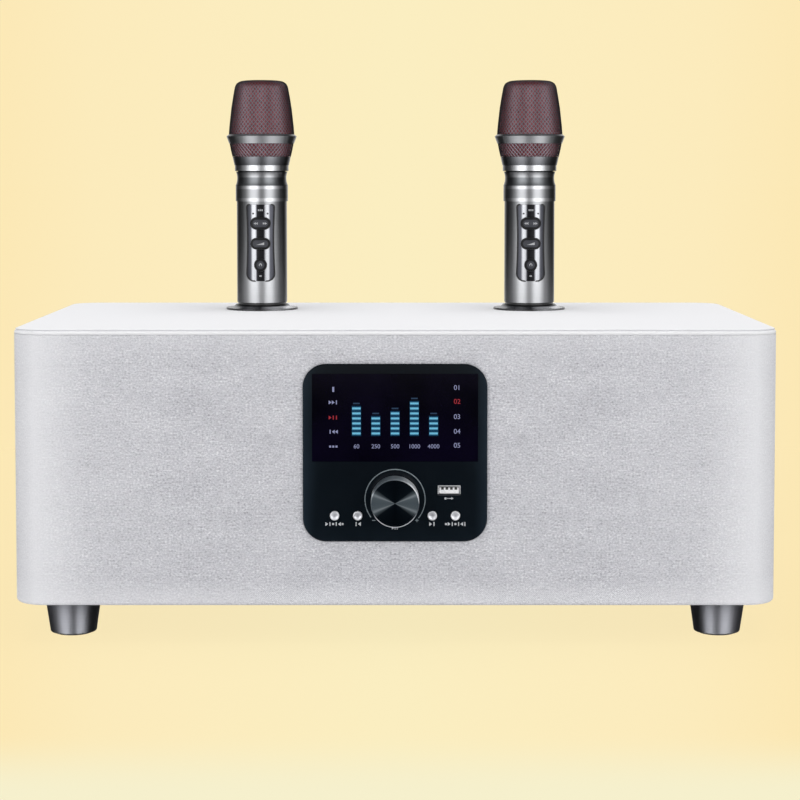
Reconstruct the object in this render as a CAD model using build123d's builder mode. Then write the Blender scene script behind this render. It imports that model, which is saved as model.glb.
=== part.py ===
from build123d import *
import os
from math import asin, cos, degrees, radians, sin, sqrt

os.makedirs("parts", exist_ok=True)

# Karaoke speaker box with two wireless microphones standing in its top.
# Millimetres, +Z up, the front faces -Y. The origin is on the floor, midway between
# the ends of the box and midway between the knob's face and the rear sockets' ends.

# ------------------------------------------------------------ box
cabinet_width = 450.0        # over the fabric
cabinet_depth = 260.0        # over the fabric
cabinet_height = 162.4       # underside of the box to the face of the top panel
corner_radius = 19.0         # upright corners, over the fabric
base_edge_radius = 2.2       # lower edge, over the fabric
board = 9.0                  # wood thickness
board_clearance = 0.15       # bottom board to the walls
glue_line = 0.1              # between glued pieces
fabric_thickness = 1.0
fabric_hem = 14.0            # width of fabric turned under the box
rim_height = 2.0
rim_width = 14.0
rim_edge_radius = 1.0
lid_thickness = 1.2          # top panel where it lies on the rim
lid_inset = 0.8              # the rim shows this far outside the top panel
lid_edge_radius = 0.3
lid_clearance = 0.2          # top panel's plug to the rim
smallest_radius = 1.0        # inner corners are never sharper
rounding_limit = 0.45        # greatest edge rounding, as a share of the thickness

# ------------------------------------------------------------ feet and screws
foot_height = 22.5           # floor to the underside of the box
foot_top_radius = 16.9
foot_bottom_radius = 13.7
foot_edge_radius = 1.0
foot_web = 4.0               # foot thickness under its screw head
foot_side_setback = 31.2     # foot centre to the box's end
foot_front_setback = 33.5    # foot centre to the box's front or back
pad_radius = 11.0
pad_thickness = 1.8
pad_stand_out = 0.8          # the pad reaches this far below the foot
pad_clearance = 0.1
screw_radius = 2.0
screw_head_radius = 4.0
screw_head_height = 2.0
screw_length = 10.0          # under the head

# ------------------------------------------------------------ control panel
fascia_drop = 19.8           # top panel's face down to the fascia's upper edge
fascia_proud = 2.0           # in front of the fabric
fascia_radius = 13.7
fascia_bevel = 0.6
fascia_lip = 3.0             # lies on the fabric outside the skirt
skirt_wall = 2.0
module_clearance = 0.2       # skirt and housing to the cabinet's opening
display_width = 96.7
display_height = 51.3
display_lens = 1.0           # thickness of the lens sunk into the fascia
display_frame = 7.0          # lens edge to the lamp block behind it
display_clearance = 0.1
display_side_margin = 5.55   # lens to the fascia's edge
display_top_margin = 5.8
control_depth = 14.0         # fascia's back to the control board
control_board_thickness = 1.6
control_board_clearance = 0.5
post_radius = 2.5
post_overlap = 0.5           # posts run this far into the skirt's corners
housing_depth = 24.0         # behind the front wall
housing_wall = 2.0
housing_flange = 8.0

knob_radius = 14.05
knob_length = 15.5
knob_gap = 1.0               # knob to the fascia
knob_bevel = 0.45
knob_skirt_wall = 2.0
knob_cavity = 5.0
knob_face_rim = 0.9
knob_dish = 0.25
knob_band_margin = 9.55      # free height above and below the knob
knob_rise = 1.35              # knob over the middle of that band
push_travel = 0.5            # knob pressed in
stop_gap = 0.1               # left at the end of a press
shaft_radius = 2.5
shaft_in_knob = 9.0
running_fit = 0.05           # radial, turning and sliding pieces
rotor_radius = 3.5
bushing_radius = 4.6
encoder_width = 13.0
encoder_length = 7.0
encoder_front_wall = 2.0
encoder_nut_radius = 6.6
encoder_nut_height = 1.8
rotor_disc_radius = 5.2
rotor_disc_thickness = 1.2

button_radius = 2.75
button_proud = 1.0
button_edge_radius = 0.4
button_dimple_radius = 2.1
button_dimple_depth = 0.4
button_clearance = 0.1
button_flange = 0.8          # wider than the hole, behind the fascia
button_travel = 0.6
button_rise = 15.3           # fascia's lower edge to the button centres
button_gap = 7.75             # knob's edge to the near button's centre
button_pitch = 13.5
switch_width = 6.0
switch_height = 4.0

usb_width = 13.15
usb_height = 5.7
usb_wall = 0.4
usb_depth = 13.0
usb_proud = 0.2
usb_tongue_thickness = 1.84
usb_tongue_side = 1.2        # tongue's edge to the shell
usb_clearance = 0.15
usb_side = 9.8               # near button's centre to the port's centre
usb_rise = 14.9              # button centres to the port's centre

# ------------------------------------------------------------ loudspeakers
driver_radius = 40.0         # hole in the front wall
driver_side_setback = 90.0   # driver's axis to the box's end
driver_flange = 9.0          # outside the hole
driver_flange_thickness = 3.0
driver_ledge = 2.5
driver_screw_angles = (45, 135, 225, 315)
driver_spoke = 12.0          # width between the frame's windows
surround_seat = 2.0          # surround's seat behind the wall
driver_depth = 30.0          # wall to the motor
frame_wall = 2.0
motor_plate_radius = 26.0
magnet_radius = 31.0
magnet_height = 12.0
motor_plate = 4.0
pole_radius = 12.0
coil_gap = 2.4
coil_thickness = 0.6
paper_thickness = 0.8
cap_rise = 5.0               # dust cap
cone_neck_gap = 8.0          # cone's neck to the motor
cone_travel = 3.0            # each way
coil_end_gap = 5.0           # coil's end to the bottom of its gap, cone pushed in
surround_width = 6.6
surround_lip = 2.2
surround_thickness = 0.6
grille_thickness = 1.2
grille_ledge = 3.0
grille_clearance = 0.2
grille_hole_radius = 3.5
grille_pitch = 10.0

# ------------------------------------------------------------ rear sockets
rear_panel_width = 130.0
rear_panel_height = 60.0
rear_panel_thickness = 2.5
rear_panel_radius = 5.0
rear_panel_edge_radius = 0.6
rear_panel_lip = 9.0         # lies on the fabric outside the opening
socket_nose = 3.5            # stands out of the rear panel
socket_nut_height = 2.0
socket_nut_ratio = 1.45      # nut's corners to the bushing's radius
mic_socket_radius = 3.2
mic_socket_bushing = 4.7
mic_socket_depth = 26.0
mic_socket_body = 16.0
aux_socket_radius = 1.8
aux_socket_bushing = 3.2
aux_socket_depth = 14.0
aux_socket_body = 10.0
power_bushing = 5.4
power_bore = 2.8
power_pin_radius = 1.0
power_pin_recess = 1.0
power_depth = 12.0
power_body = 14.0
bushing_clearance = 0.1
mic_socket_xs = (-42.0, -18.0)
aux_socket_x = 5.0
power_socket_x = 36.0

# ------------------------------------------------------------ amplifier
amplifier_width = 120.0
amplifier_depth = 80.0
amplifier_standoff = 6.0     # height over the bottom board
amplifier_setback = 70.0     # board's middle to the rear wall's inner face
circuit_thickness = 1.6
standoff_radius = 3.0
standoff_inset = 4.0
heat_sink_width = 72.0
heat_sink_height = 22.0
heat_sink_base = 4.0
heat_sink_setback = 15.0     # from the board's rear edge
fin_length = 24.0
fin_thickness = 2.5
fin_pitch = 12.0
fin_count = 5
capacitor_radius = 8.0
capacitor_height = 25.0
capacitor_inset = 18.0       # from the board's ends

# ------------------------------------------------------------ microphone holders
mic_spacing = 179.0
mic_setback = 190.0          # box front to the microphones' axes
tail_radius = 16.1
tail_clearance = 0.3         # microphone's tail in its holder
holder_flange_radius = 23.9
holder_rim_height = 1.3
holder_collar_radius = 17.5
holder_height = 3.5
holder_hollow = (0.33, 0.25) # the flange's curve passes here, as shares of its width and height
holder_sleeve_wall = 2.0
sleeve_clearance = 0.2
well_depth = 35.0            # top panel's face to the well's floor
cup_wall = 1.6
cup_flange = 6.0
cup_flange_thickness = 2.0
seat_gap = 0.1               # microphone's end above the well's floor
contact_radius = 1.5
contact_spacing = 10.0
contact_length = 5.0

# ------------------------------------------------------------ microphone, heights over the top panel
tube_radius = 16.7
tube_wall = 2.4
tube_bottom = 5.0
ring_radius = 17.4
ring_zone = 72.3
neck_bottom = 82.8
neck_radius = 16.4
neck_waist = 88.4
neck_top = 92.0
neck_top_radius = 17.2
spigot_radius = 16.0
spigot_height = 5.0
collar_clearance = 0.1       # collar round the spigot
collar_groove = 0.35          # neck to the collar
collar_radius = 17.9
collar_ring_top = 96.2
collar_top = 101.8
collar_top_radius = 19.4
collar_step = 0.3
head_foot_radius = 19.0      # mesh where it stands on the collar
capsule_bore = 12.0
mesh_thickness = 0.8
band_bottom = 110.6
band_bottom_radius = 21.6
band_lip = 115.4
band_lip_radius = 23.4
band_top = 116.7
band_seat_radius = 20.2      # mesh inside the band
band_clearance = 0.05
head_bottom_radius = 21.85
head_middle = 133.8
head_middle_radius = 20.2
head_shoulder = 148.5
head_shoulder_radius = 17.7
head_corner = 151.2
head_corner_radius = 15.9
head_dome = 152.5
head_dome_radius = 11.7
head_top = 152.8
foam_clearance = 0.3
foam_thickness = 3.5
capsule_radius = 11.0
capsule_flange_radius = 13.5
capsule_flange_height = 4.0
capsule_top = 127.0

plate_bottom = 19.5
plate_top = 70.2
plate_width = 18.5
plate_waist = 17.4
plate_waist_height = 36.0
plate_low_width = 19.0
plate_top_radius = 1.8
plate_low_radius = 5.0
plate_thickness = 1.2
plate_proud = 0.1
plate_clearance = 0.1
key_proud = 0.7
key_clearance = 0.15
key_travel = 0.5
rocker_clearance = 0.3
rocker_swing = 3.0           # degrees each way
rocker_height = 57.7
rocker_size = (13.1, 7.8)
rocker_post_inset = 2.4      # posts from the rocker's ends
volume_height = 44.3
volume_size = (13.1, 7.5)
power_height = 30.2
power_radius = 4.2
key_post_radius = 1.5
key_depth = 3.4              # key's crown to its back

mic_board_half_width = 10.5
mic_board_setback = 9.4      # axis to the board's front
mic_board_thickness = 1.2
mic_board_bottom = 12.0
mic_board_top = 82.0
mic_switch_width = 5.0
mic_switch_height = 1.5
battery_radius = 7.0
battery_bottom = 19.0
battery_length = 50.0
battery_clearance = 0.3
tail_wall = 2.5
tail_edge_radius = 1.5
tail_spigot = 6.0
tail_spigot_clearance = 0.05

# ------------------------------------------------------------ places worked out from the sizes
fascia_width = display_width + 2 * display_side_margin
knob_band = 2 * (knob_radius + knob_band_margin)
fascia_height = display_top_margin + display_height + knob_band
knob_reach = fascia_proud + knob_gap + knob_length
rear_reach = rear_panel_thickness + socket_nose
front_y = (knob_reach - rear_reach - cabinet_depth) / 2
back_y = front_y + cabinet_depth
middle_y = (front_y + back_y) / 2
base_z = foot_height
top_z = base_z + cabinet_height
shell_bottom = base_z + fabric_thickness
shell_top = top_z - lid_thickness - rim_height
ceiling_z = shell_top - board
wall_face = front_y + fabric_thickness
wall_inside = wall_face + board
rear_wall_face = back_y - fabric_thickness
rear_wall_inside = rear_wall_face - board
cabinet_middle_z = (shell_bottom + shell_top) / 2
fascia_top = top_z - fascia_drop
fascia_bottom = fascia_top - fascia_height
fascia_z = (fascia_top + fascia_bottom) / 2
fascia_face = front_y - fascia_proud
display_z = fascia_top - display_top_margin - display_height / 2
knob_z = fascia_bottom + knob_band / 2 + knob_rise
button_z = fascia_bottom + button_rise
near_button = knob_radius + button_gap
button_xs = (-near_button - button_pitch, -near_button, near_button, near_button + button_pitch)
usb_x = near_button + usb_side
usb_z = button_z + usb_rise
control_y = front_y + control_depth
module_width = fascia_width - 2 * fascia_lip
module_height = fascia_height - 2 * fascia_lip
module_radius = fascia_radius - fascia_lip
rear_panel_face = back_y + rear_panel_thickness
foot_x = cabinet_width / 2 - foot_side_setback
foot_y = cabinet_depth / 2 - foot_front_setback
foot_centres = [(x, middle_y + y) for x in (-foot_x, foot_x) for y in (-foot_y, foot_y)]
mic_y = front_y + mic_setback
mic_xs = {"left": -mic_spacing / 2, "right": mic_spacing / 2}
driver_xs = {
    "left": driver_side_setback - cabinet_width / 2,
    "right": cabinet_width / 2 - driver_side_setback,
}
well_radius = tail_radius + tail_clearance
sleeve_radius = well_radius + holder_sleeve_wall


# ------------------------------------------------------------ helpers
def finish(name, piece):
    """Label a finished piece and write it."""
    piece.part.label = name
    export_step(piece.part, f"parts/{name}.step")


def level(z):
    """Level plane at height z, centred on the box."""
    return Plane(origin=(0, middle_y, z))


def facing_front(y, x=0, z=0):
    """Upright plane that faces the front: local x is +X and local y is +Z."""
    return Plane(origin=(x, y, z), x_dir=(1, 0, 0), z_dir=(0, -1, 0))


def facing_back(y, x=0, z=0):
    """Upright plane that faces the back: local x is -X and local y is +Z."""
    return Plane(origin=(x, y, z), x_dir=(-1, 0, 0), z_dir=(0, 1, 0))


def depth_section(x, y, z):
    """Plane for a section turned about a fore-and-aft axis: local x is radius, local y runs back."""
    return Plane(origin=(x, y, z), x_dir=(1, 0, 0), z_dir=(0, 0, 1))


def upright_section(x, y, z):
    """Plane for a section turned about an upright axis: local x is radius, local y is height."""
    return Plane(origin=(x, y, z), x_dir=(1, 0, 0), z_dir=(0, -1, 0))


def box_outline(inset):
    """The box's rounded outline, set in from the fabric's face."""
    RectangleRounded(
        cabinet_width - 2 * inset,
        cabinet_depth - 2 * inset,
        max(corner_radius - inset, smallest_radius),
    )


def dome(crown, edge_radius, rise):
    """Arc of a dome from its edge up to its crown, centred on the section's axis."""
    radius = (edge_radius ** 2 + rise ** 2) / (2 * rise)
    swept = degrees(asin(edge_radius / radius))
    CenterArc((0, crown - radius), radius, 90 - swept, swept)


def box_solid(inset, bottom):
    """The box as one block up to the rim, its lower edge rounded."""
    with BuildPart() as block:
        with BuildSketch(level(bottom)):
            box_outline(inset)
        extrude(amount=shell_top - bottom)
        fillet(block.faces().sort_by(Axis.Z)[0].edges(), base_edge_radius - inset)
    return block.part


def drill(seats, radius, depth):
    """Sink a hole of one radius behind each seat."""
    for seat in seats:
        with BuildSketch(seat) as hole:
            Circle(radius)
        extrude(hole.sketch, amount=-depth, mode=Mode.SUBTRACT)


# A screw's seat is the plane under its head, facing the head.
foot_seats = [
    Plane(origin=(x, y, shell_bottom - foot_web), z_dir=(0, 0, -1)) for x, y in foot_centres
]
driver_screw_radius = driver_radius + driver_flange / 2
driver_seats = [
    facing_back(
        wall_inside + driver_flange_thickness,
        x + driver_screw_radius * cos(radians(angle)),
        cabinet_middle_z + driver_screw_radius * sin(radians(angle)),
    )
    for x in driver_xs.values()
    for angle in driver_screw_angles
]
rear_screw_x = (rear_panel_width - rear_panel_lip) / 2
rear_screw_z = (rear_panel_height - rear_panel_lip) / 2
rear_seats = [
    facing_back(rear_panel_face, x, fascia_z + z)
    for x in (-rear_screw_x, rear_screw_x)
    for z in (-rear_screw_z, rear_screw_z)
]
holder_seats = [Plane(origin=(x, mic_y, top_z)) for x in mic_xs.values()]


# ------------------------------------------------------------ cabinet
wood_block = box_solid(fabric_thickness, shell_bottom)
fabric_block = box_solid(0, base_z)


def module_outline(inset, mode=Mode.ADD):
    """The control module's outline, set in by a wall or grown by a clearance."""
    RectangleRounded(
        module_width - 2 * inset,
        module_height - 2 * inset,
        max(module_radius - inset, smallest_radius),
        mode=mode,
    )


def rear_opening():
    """Opening behind the rear panel."""
    RectangleRounded(
        rear_panel_width - 2 * rear_panel_lip,
        rear_panel_height - 2 * rear_panel_lip,
        rear_panel_radius,
    )


# Four walls, four rounded corner posts and a top board, glued.
with BuildPart() as cabinet_shell:
    add(wood_block)
    with BuildSketch(level(shell_bottom)):
        box_outline(fabric_thickness + board)
    extrude(amount=ceiling_z - shell_bottom, mode=Mode.SUBTRACT)
    for x in driver_xs.values():
        with BuildSketch(facing_front(wall_face, x, cabinet_middle_z)):
            Circle(driver_radius)
        extrude(amount=-board, mode=Mode.SUBTRACT)
        with BuildSketch(facing_front(wall_face, x, cabinet_middle_z)):
            Circle(driver_radius + grille_ledge)
        extrude(amount=-grille_thickness, mode=Mode.SUBTRACT)
    with BuildSketch(facing_front(wall_face, 0, fascia_z)):
        module_outline(-module_clearance)
    extrude(amount=-board, mode=Mode.SUBTRACT)
    with BuildSketch(facing_back(rear_wall_face, 0, fascia_z)):
        rear_opening()
    extrude(amount=-board, mode=Mode.SUBTRACT)
    with BuildSketch(level(shell_bottom)):
        with GridLocations(cabinet_width - 2 * corner_radius, 1, 2, 1):
            Rectangle(glue_line, cabinet_depth)
        with GridLocations(1, cabinet_depth - 2 * corner_radius, 1, 2):
            Rectangle(cabinet_width, glue_line)
    extrude(amount=ceiling_z - shell_bottom, mode=Mode.SUBTRACT)
    with BuildSketch(level(ceiling_z)):
        Rectangle(cabinet_width, cabinet_depth)
    extrude(amount=-glue_line, mode=Mode.SUBTRACT)
    drill(holder_seats, sleeve_radius + sleeve_clearance, top_z - ceiling_z)
    drill(driver_seats + rear_seats, screw_radius, screw_length)
finish("cabinet_shell", cabinet_shell)

with BuildPart() as fabric_wrap:
    add(fabric_block)
    add(wood_block, mode=Mode.SUBTRACT)
    with BuildSketch(level(base_z)):
        box_outline(fabric_hem)
    extrude(amount=fabric_thickness, mode=Mode.SUBTRACT)
    with BuildSketch(facing_front(front_y, 0, fascia_z)):
        module_outline(-module_clearance)
    extrude(amount=-fabric_thickness, mode=Mode.SUBTRACT)
    with BuildSketch(facing_back(back_y, 0, fascia_z)):
        rear_opening()
    extrude(amount=-fabric_thickness, mode=Mode.SUBTRACT)
    drill(rear_seats, screw_radius, screw_length)
finish("fabric_wrap", fabric_wrap)

with BuildPart() as bottom_board:
    with BuildSketch(level(shell_bottom)):
        box_outline(fabric_thickness + board + board_clearance)
    extrude(amount=board)
    drill(foot_seats, screw_radius, screw_length)
finish("bottom_board", bottom_board)

with BuildPart() as top_rim:
    with BuildSketch(level(shell_top)):
        box_outline(0)
        RectangleRounded(
            cabinet_width - 2 * rim_width,
            cabinet_depth - 2 * rim_width,
            max(corner_radius - rim_width, smallest_radius),
            mode=Mode.SUBTRACT,
        )
    extrude(amount=rim_height)
    faces = top_rim.faces().sort_by(Axis.Z)
    outer_edges = faces[0].outer_wire().edges() + faces[-1].outer_wire().edges()
    fillet(outer_edges, min(rim_edge_radius, rounding_limit * rim_height))
finish("top_rim", top_rim)

with BuildPart() as top_panel:
    with BuildSketch(level(shell_top)):
        box_outline(rim_width + lid_clearance)
    extrude(amount=rim_height)
    with BuildSketch(level(shell_top + rim_height)):
        box_outline(lid_inset)
    extrude(amount=lid_thickness)
    lid_edges = top_panel.faces().sort_by(Axis.Z)[-1].outer_wire().edges()
    fillet(lid_edges, min(lid_edge_radius, rounding_limit * lid_thickness))
    drill(holder_seats, sleeve_radius + sleeve_clearance, top_z - ceiling_z)
finish("top_panel", top_panel)


# ------------------------------------------------------------ feet and screws
foot_bottom = pad_stand_out
screw_pocket_top = shell_bottom - foot_web

with BuildPart() as feet:
    for x, y in foot_centres:
        with BuildSketch(upright_section(x, y, 0)):
            Polygon(
                (0, foot_bottom),
                (foot_bottom_radius, foot_bottom),
                (foot_top_radius, base_z),
                (foot_top_radius, shell_bottom),
                (0, shell_bottom),
                align=None,
            )
        revolve(axis=Axis((x, y, 0), (0, 0, 1)))
    fillet(feet.faces().group_by(Axis.Z)[0].edges(), foot_edge_radius)
    for x, y in foot_centres:
        with BuildSketch(Plane(origin=(x, y, foot_bottom))):
            Circle(pad_radius + pad_clearance)
        extrude(amount=pad_thickness - foot_bottom, mode=Mode.SUBTRACT)
        with BuildSketch(Plane(origin=(x, y, foot_bottom))):
            Circle(screw_head_radius + pad_clearance)
        extrude(amount=screw_pocket_top - foot_bottom, mode=Mode.SUBTRACT)
    drill(foot_seats, screw_radius, foot_web)
finish("feet", feet)

with BuildPart() as foot_pads:
    for x, y in foot_centres:
        with BuildSketch(Plane(origin=(x, y, 0))):
            Circle(pad_radius)
        extrude(amount=pad_thickness)
finish("foot_pads", foot_pads)

with BuildPart() as wood_screws:
    for seat in foot_seats + driver_seats + rear_seats:
        with BuildSketch(seat):
            Circle(screw_head_radius)
        extrude(amount=screw_head_height)
        with BuildSketch(seat):
            Circle(screw_radius)
        extrude(amount=-screw_length)
finish("wood_screws", wood_screws)


# ------------------------------------------------------------ loudspeakers
# Sections are drawn as (radius, distance behind the wall's inside face).
roll_outer = driver_radius - surround_lip
roll_inner = roll_outer - surround_width
lip_front = surround_seat - surround_thickness
motor_back = driver_depth + magnet_height + 2 * motor_plate
gap_outer = pole_radius + coil_gap
coil_radius = pole_radius + (coil_gap - coil_thickness) / 2
cone_neck = driver_depth - cone_neck_gap
coil_end = driver_depth + magnet_height - cone_travel - coil_end_gap
cone_rim = roll_inner - surround_lip


def turned(x, section):
    """Turn a section about the axis of the loudspeaker at x."""
    with BuildSketch(depth_section(x, wall_inside, cabinet_middle_z)) as profile:
        section()
    revolve(profile.sketch, axis=Axis((x, wall_inside, cabinet_middle_z), (0, 1, 0)))


def frame_section():
    """Loudspeaker frame: flange, ledge for the surround, conical wall and motor seat."""
    Polygon(
        (driver_radius - driver_ledge, surround_seat),
        (driver_radius, surround_seat),
        (driver_radius, 0),
        (driver_radius + driver_flange, 0),
        (driver_radius + driver_flange, driver_flange_thickness),
        (driver_radius - driver_ledge + frame_wall, driver_flange_thickness),
        (magnet_radius, driver_depth),
        (gap_outer + frame_wall, driver_depth),
        (gap_outer + frame_wall, driver_depth - frame_wall),
        (magnet_radius - frame_wall, driver_depth - frame_wall),
        (driver_radius - driver_ledge, surround_seat + frame_wall),
        align=None,
    )


def motor_section():
    """Motor: front plate, magnet, back plate and pole, with the coil's gap."""
    Polygon(
        (0, driver_depth - frame_wall),
        (pole_radius, driver_depth - frame_wall),
        (pole_radius, driver_depth + magnet_height),
        (gap_outer, driver_depth + magnet_height),
        (gap_outer, driver_depth),
        (motor_plate_radius, driver_depth),
        (motor_plate_radius, driver_depth + motor_plate),
        (magnet_radius, driver_depth + motor_plate),
        (magnet_radius, driver_depth + motor_plate + magnet_height),
        (motor_plate_radius, driver_depth + motor_plate + magnet_height),
        (motor_plate_radius, motor_back),
        (0, motor_back),
        align=None,
    )


def surround_section():
    """Half-roll surround with its two flat lips."""
    middle = (roll_inner + roll_outer) / 2
    roll = surround_width / 2
    with BuildLine() as outline:
        Line((roll_inner - surround_lip, surround_seat), (roll_inner - surround_lip, lip_front))
        Line((roll_inner - surround_lip, lip_front), (roll_inner, lip_front))
        ThreePointArc((roll_inner, lip_front), (middle, lip_front - roll), (roll_outer, lip_front))
        Line((roll_outer, lip_front), (roll_outer + surround_lip, lip_front))
        Line((roll_outer + surround_lip, lip_front), (roll_outer + surround_lip, surround_seat))
        Line((roll_outer + surround_lip, surround_seat), (roll_outer - surround_thickness, surround_seat))
        ThreePointArc(
            (roll_outer - surround_thickness, surround_seat),
            (middle, surround_seat - roll + surround_thickness),
            (roll_inner + surround_thickness, surround_seat),
        )
        Line((roll_inner + surround_thickness, surround_seat), (roll_inner - surround_lip, surround_seat))
    make_face(outline.edges())


def cone_section():
    """Paper cone with its flat rim, dust cap and voice coil tube."""
    coil_outer = coil_radius + coil_thickness
    rim_back = surround_seat + paper_thickness
    cap_edge = cone_neck + paper_thickness
    cap_radius = (coil_radius ** 2 + cap_rise ** 2) / (2 * cap_rise)
    swept = degrees(asin(coil_radius / cap_radius))
    with BuildLine() as outline:
        Line((0, cone_neck - cap_rise), (0, cap_edge - cap_rise))
        CenterArc((0, cap_edge - cap_rise + cap_radius), cap_radius, -90, swept)
        Polyline(
            (coil_radius, cap_edge),
            (coil_radius, coil_end),
            (coil_outer, coil_end),
            (coil_outer, cap_edge + paper_thickness),
            (cone_rim, rim_back),
            (roll_inner, rim_back),
            (roll_inner, surround_seat),
            (cone_rim, surround_seat),
            (coil_radius, cone_neck),
        )
        CenterArc((0, cone_neck - cap_rise + cap_radius), cap_radius, -90, swept)
    make_face(outline.edges())


window_front = surround_seat + frame_wall
window_back = driver_depth - 2 * frame_wall
with BuildPart() as driver_frames:
    for x in driver_xs.values():
        turned(x, frame_section)
    for x in driver_xs.values():
        with BuildSketch(facing_front(wall_inside + window_front, x, cabinet_middle_z)):
            Circle(driver_radius - driver_ledge)
            Circle(magnet_radius, mode=Mode.SUBTRACT)
            Rectangle(2 * driver_radius, driver_spoke, mode=Mode.SUBTRACT)
            Rectangle(driver_spoke, 2 * driver_radius, mode=Mode.SUBTRACT)
        extrude(amount=window_front - window_back, mode=Mode.SUBTRACT)
    drill(driver_seats, screw_radius, driver_flange_thickness)
    for x in driver_xs.values():
        turned(x, motor_section)
finish("driver_frames", driver_frames)

for side, x in driver_xs.items():
    with BuildPart() as surround:
        turned(x, surround_section)
    finish(f"surround_{side}", surround)

    with BuildPart() as cone:
        turned(x, cone_section)
    finish(f"cone_{side}", cone)

with BuildPart() as driver_grilles:
    for x in driver_xs.values():
        with BuildSketch(facing_front(wall_face, x, cabinet_middle_z)):
            Circle(driver_radius + grille_ledge - grille_clearance)
        extrude(amount=-grille_thickness)
    hole_count = int(driver_radius / grille_pitch)
    hole_places = [
        (grille_pitch * (column + (row % 2) / 2), grille_pitch * row * sqrt(3) / 2)
        for row in range(-hole_count, hole_count + 1)
        for column in range(-hole_count, hole_count + 1)
    ]
    clear_radius = driver_radius - grille_hole_radius - grille_thickness
    hole_places = [(u, v) for u, v in hole_places if sqrt(u * u + v * v) < clear_radius]
    for x in driver_xs.values():
        with BuildSketch(facing_front(wall_face, x, cabinet_middle_z)):
            with Locations(*hole_places):
                Circle(grille_hole_radius)
        extrude(amount=-grille_thickness, mode=Mode.SUBTRACT)
finish("driver_grilles", driver_grilles)


# ------------------------------------------------------------ control panel
display_block_width = display_width - 2 * display_frame
display_block_height = display_height - 2 * display_frame
post_inset = module_radius - (module_radius - skirt_wall + post_overlap - post_radius) / sqrt(2)
post_x = module_width / 2 - post_inset
post_z = module_height / 2 - post_inset
encoder_back = control_y
encoder_front = control_y - encoder_length
bushing_end = fascia_face - encoder_nut_height

with BuildPart() as control_panel:
    with BuildSketch(facing_front(front_y, 0, fascia_z)):
        RectangleRounded(fascia_width, fascia_height, fascia_radius)
    extrude(amount=fascia_proud)
    chamfer(control_panel.faces().sort_by(Axis.Y)[0].edges(), fascia_bevel)
    with BuildSketch(facing_front(front_y, 0, fascia_z)):
        module_outline(0)
        module_outline(skirt_wall, mode=Mode.SUBTRACT)
    extrude(amount=-control_depth)
    with BuildSketch(facing_front(front_y, 0, fascia_z)):
        with GridLocations(2 * post_x, 2 * post_z, 2, 2):
            Circle(post_radius)
    extrude(amount=-control_depth)
    with BuildSketch(facing_front(fascia_face, 0, display_z)):
        Rectangle(display_width + 2 * display_clearance, display_height + 2 * display_clearance)
    extrude(amount=-display_lens, mode=Mode.SUBTRACT)
    with BuildSketch(facing_front(fascia_face, 0, display_z)):
        Rectangle(
            display_block_width + 2 * display_clearance,
            display_block_height + 2 * display_clearance,
        )
    extrude(amount=-fascia_proud, mode=Mode.SUBTRACT)
    with BuildSketch(facing_front(fascia_face, 0, 0)):
        with Locations((0, knob_z)):
            Circle(bushing_radius + bushing_clearance)
        with Locations(*[(x, button_z) for x in button_xs]):
            Circle(button_radius + button_clearance)
        with Locations((usb_x, usb_z)):
            Rectangle(usb_width + 2 * usb_clearance, usb_height + 2 * usb_clearance)
    extrude(amount=-fascia_proud, mode=Mode.SUBTRACT)
finish("control_panel", control_panel)

with BuildPart() as panel_housing:
    with BuildSketch(facing_back(wall_inside, 0, fascia_z)):
        module_outline(-module_clearance - housing_wall)
    extrude(amount=housing_depth)
    with BuildSketch(facing_back(wall_inside, 0, fascia_z)):
        module_outline(-module_clearance - housing_flange)
    extrude(amount=housing_wall)
    with BuildSketch(facing_back(wall_inside, 0, fascia_z)):
        module_outline(-module_clearance)
    extrude(amount=housing_depth - housing_wall, mode=Mode.SUBTRACT)
finish("panel_housing", panel_housing)

with BuildPart() as display_module:
    with BuildSketch(facing_front(fascia_face, 0, display_z)):
        Rectangle(display_width, display_height)
    extrude(amount=-display_lens)
    lamp_front = fascia_face + display_lens + glue_line
    with BuildSketch(facing_front(lamp_front, 0, display_z)):
        Rectangle(display_block_width, display_block_height)
    extrude(amount=lamp_front - control_y)
finish("display_module", display_module)

with BuildPart() as control_board:
    with BuildSketch(facing_back(control_y, 0, fascia_z)):
        module_outline(control_board_clearance)
    extrude(amount=control_board_thickness)
    with BuildSketch(facing_front(control_y, 0, button_z)):
        with Locations(*[(x, 0) for x in button_xs]):
            Rectangle(switch_width, switch_width)
    extrude(amount=switch_height)
finish("control_board", control_board)

# The rotary switch: its body and bushing stay, the rotor turns in the bushing, and the
# shaft turns with the rotor and slides through it when the knob is pressed.
with BuildPart() as encoder_body:
    with BuildSketch(facing_front(encoder_back, 0, knob_z)):
        Rectangle(encoder_width, encoder_width)
    extrude(amount=encoder_length)
    with BuildSketch(facing_front(encoder_front, 0, knob_z)):
        Circle(bushing_radius)
    extrude(amount=encoder_front - bushing_end)
    with BuildSketch(facing_front(fascia_face, 0, knob_z)):
        RegularPolygon(encoder_nut_radius, 6)
    extrude(amount=encoder_nut_height)
    with BuildSketch(facing_front(encoder_back, 0, knob_z)):
        Circle(rotor_radius + running_fit)
    extrude(amount=encoder_back - bushing_end, mode=Mode.SUBTRACT)
    with BuildSketch(facing_front(encoder_back, 0, knob_z)):
        Circle(rotor_disc_radius + running_fit)
    extrude(amount=encoder_length - encoder_front_wall, mode=Mode.SUBTRACT)
finish("encoder_body", encoder_body)

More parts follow.
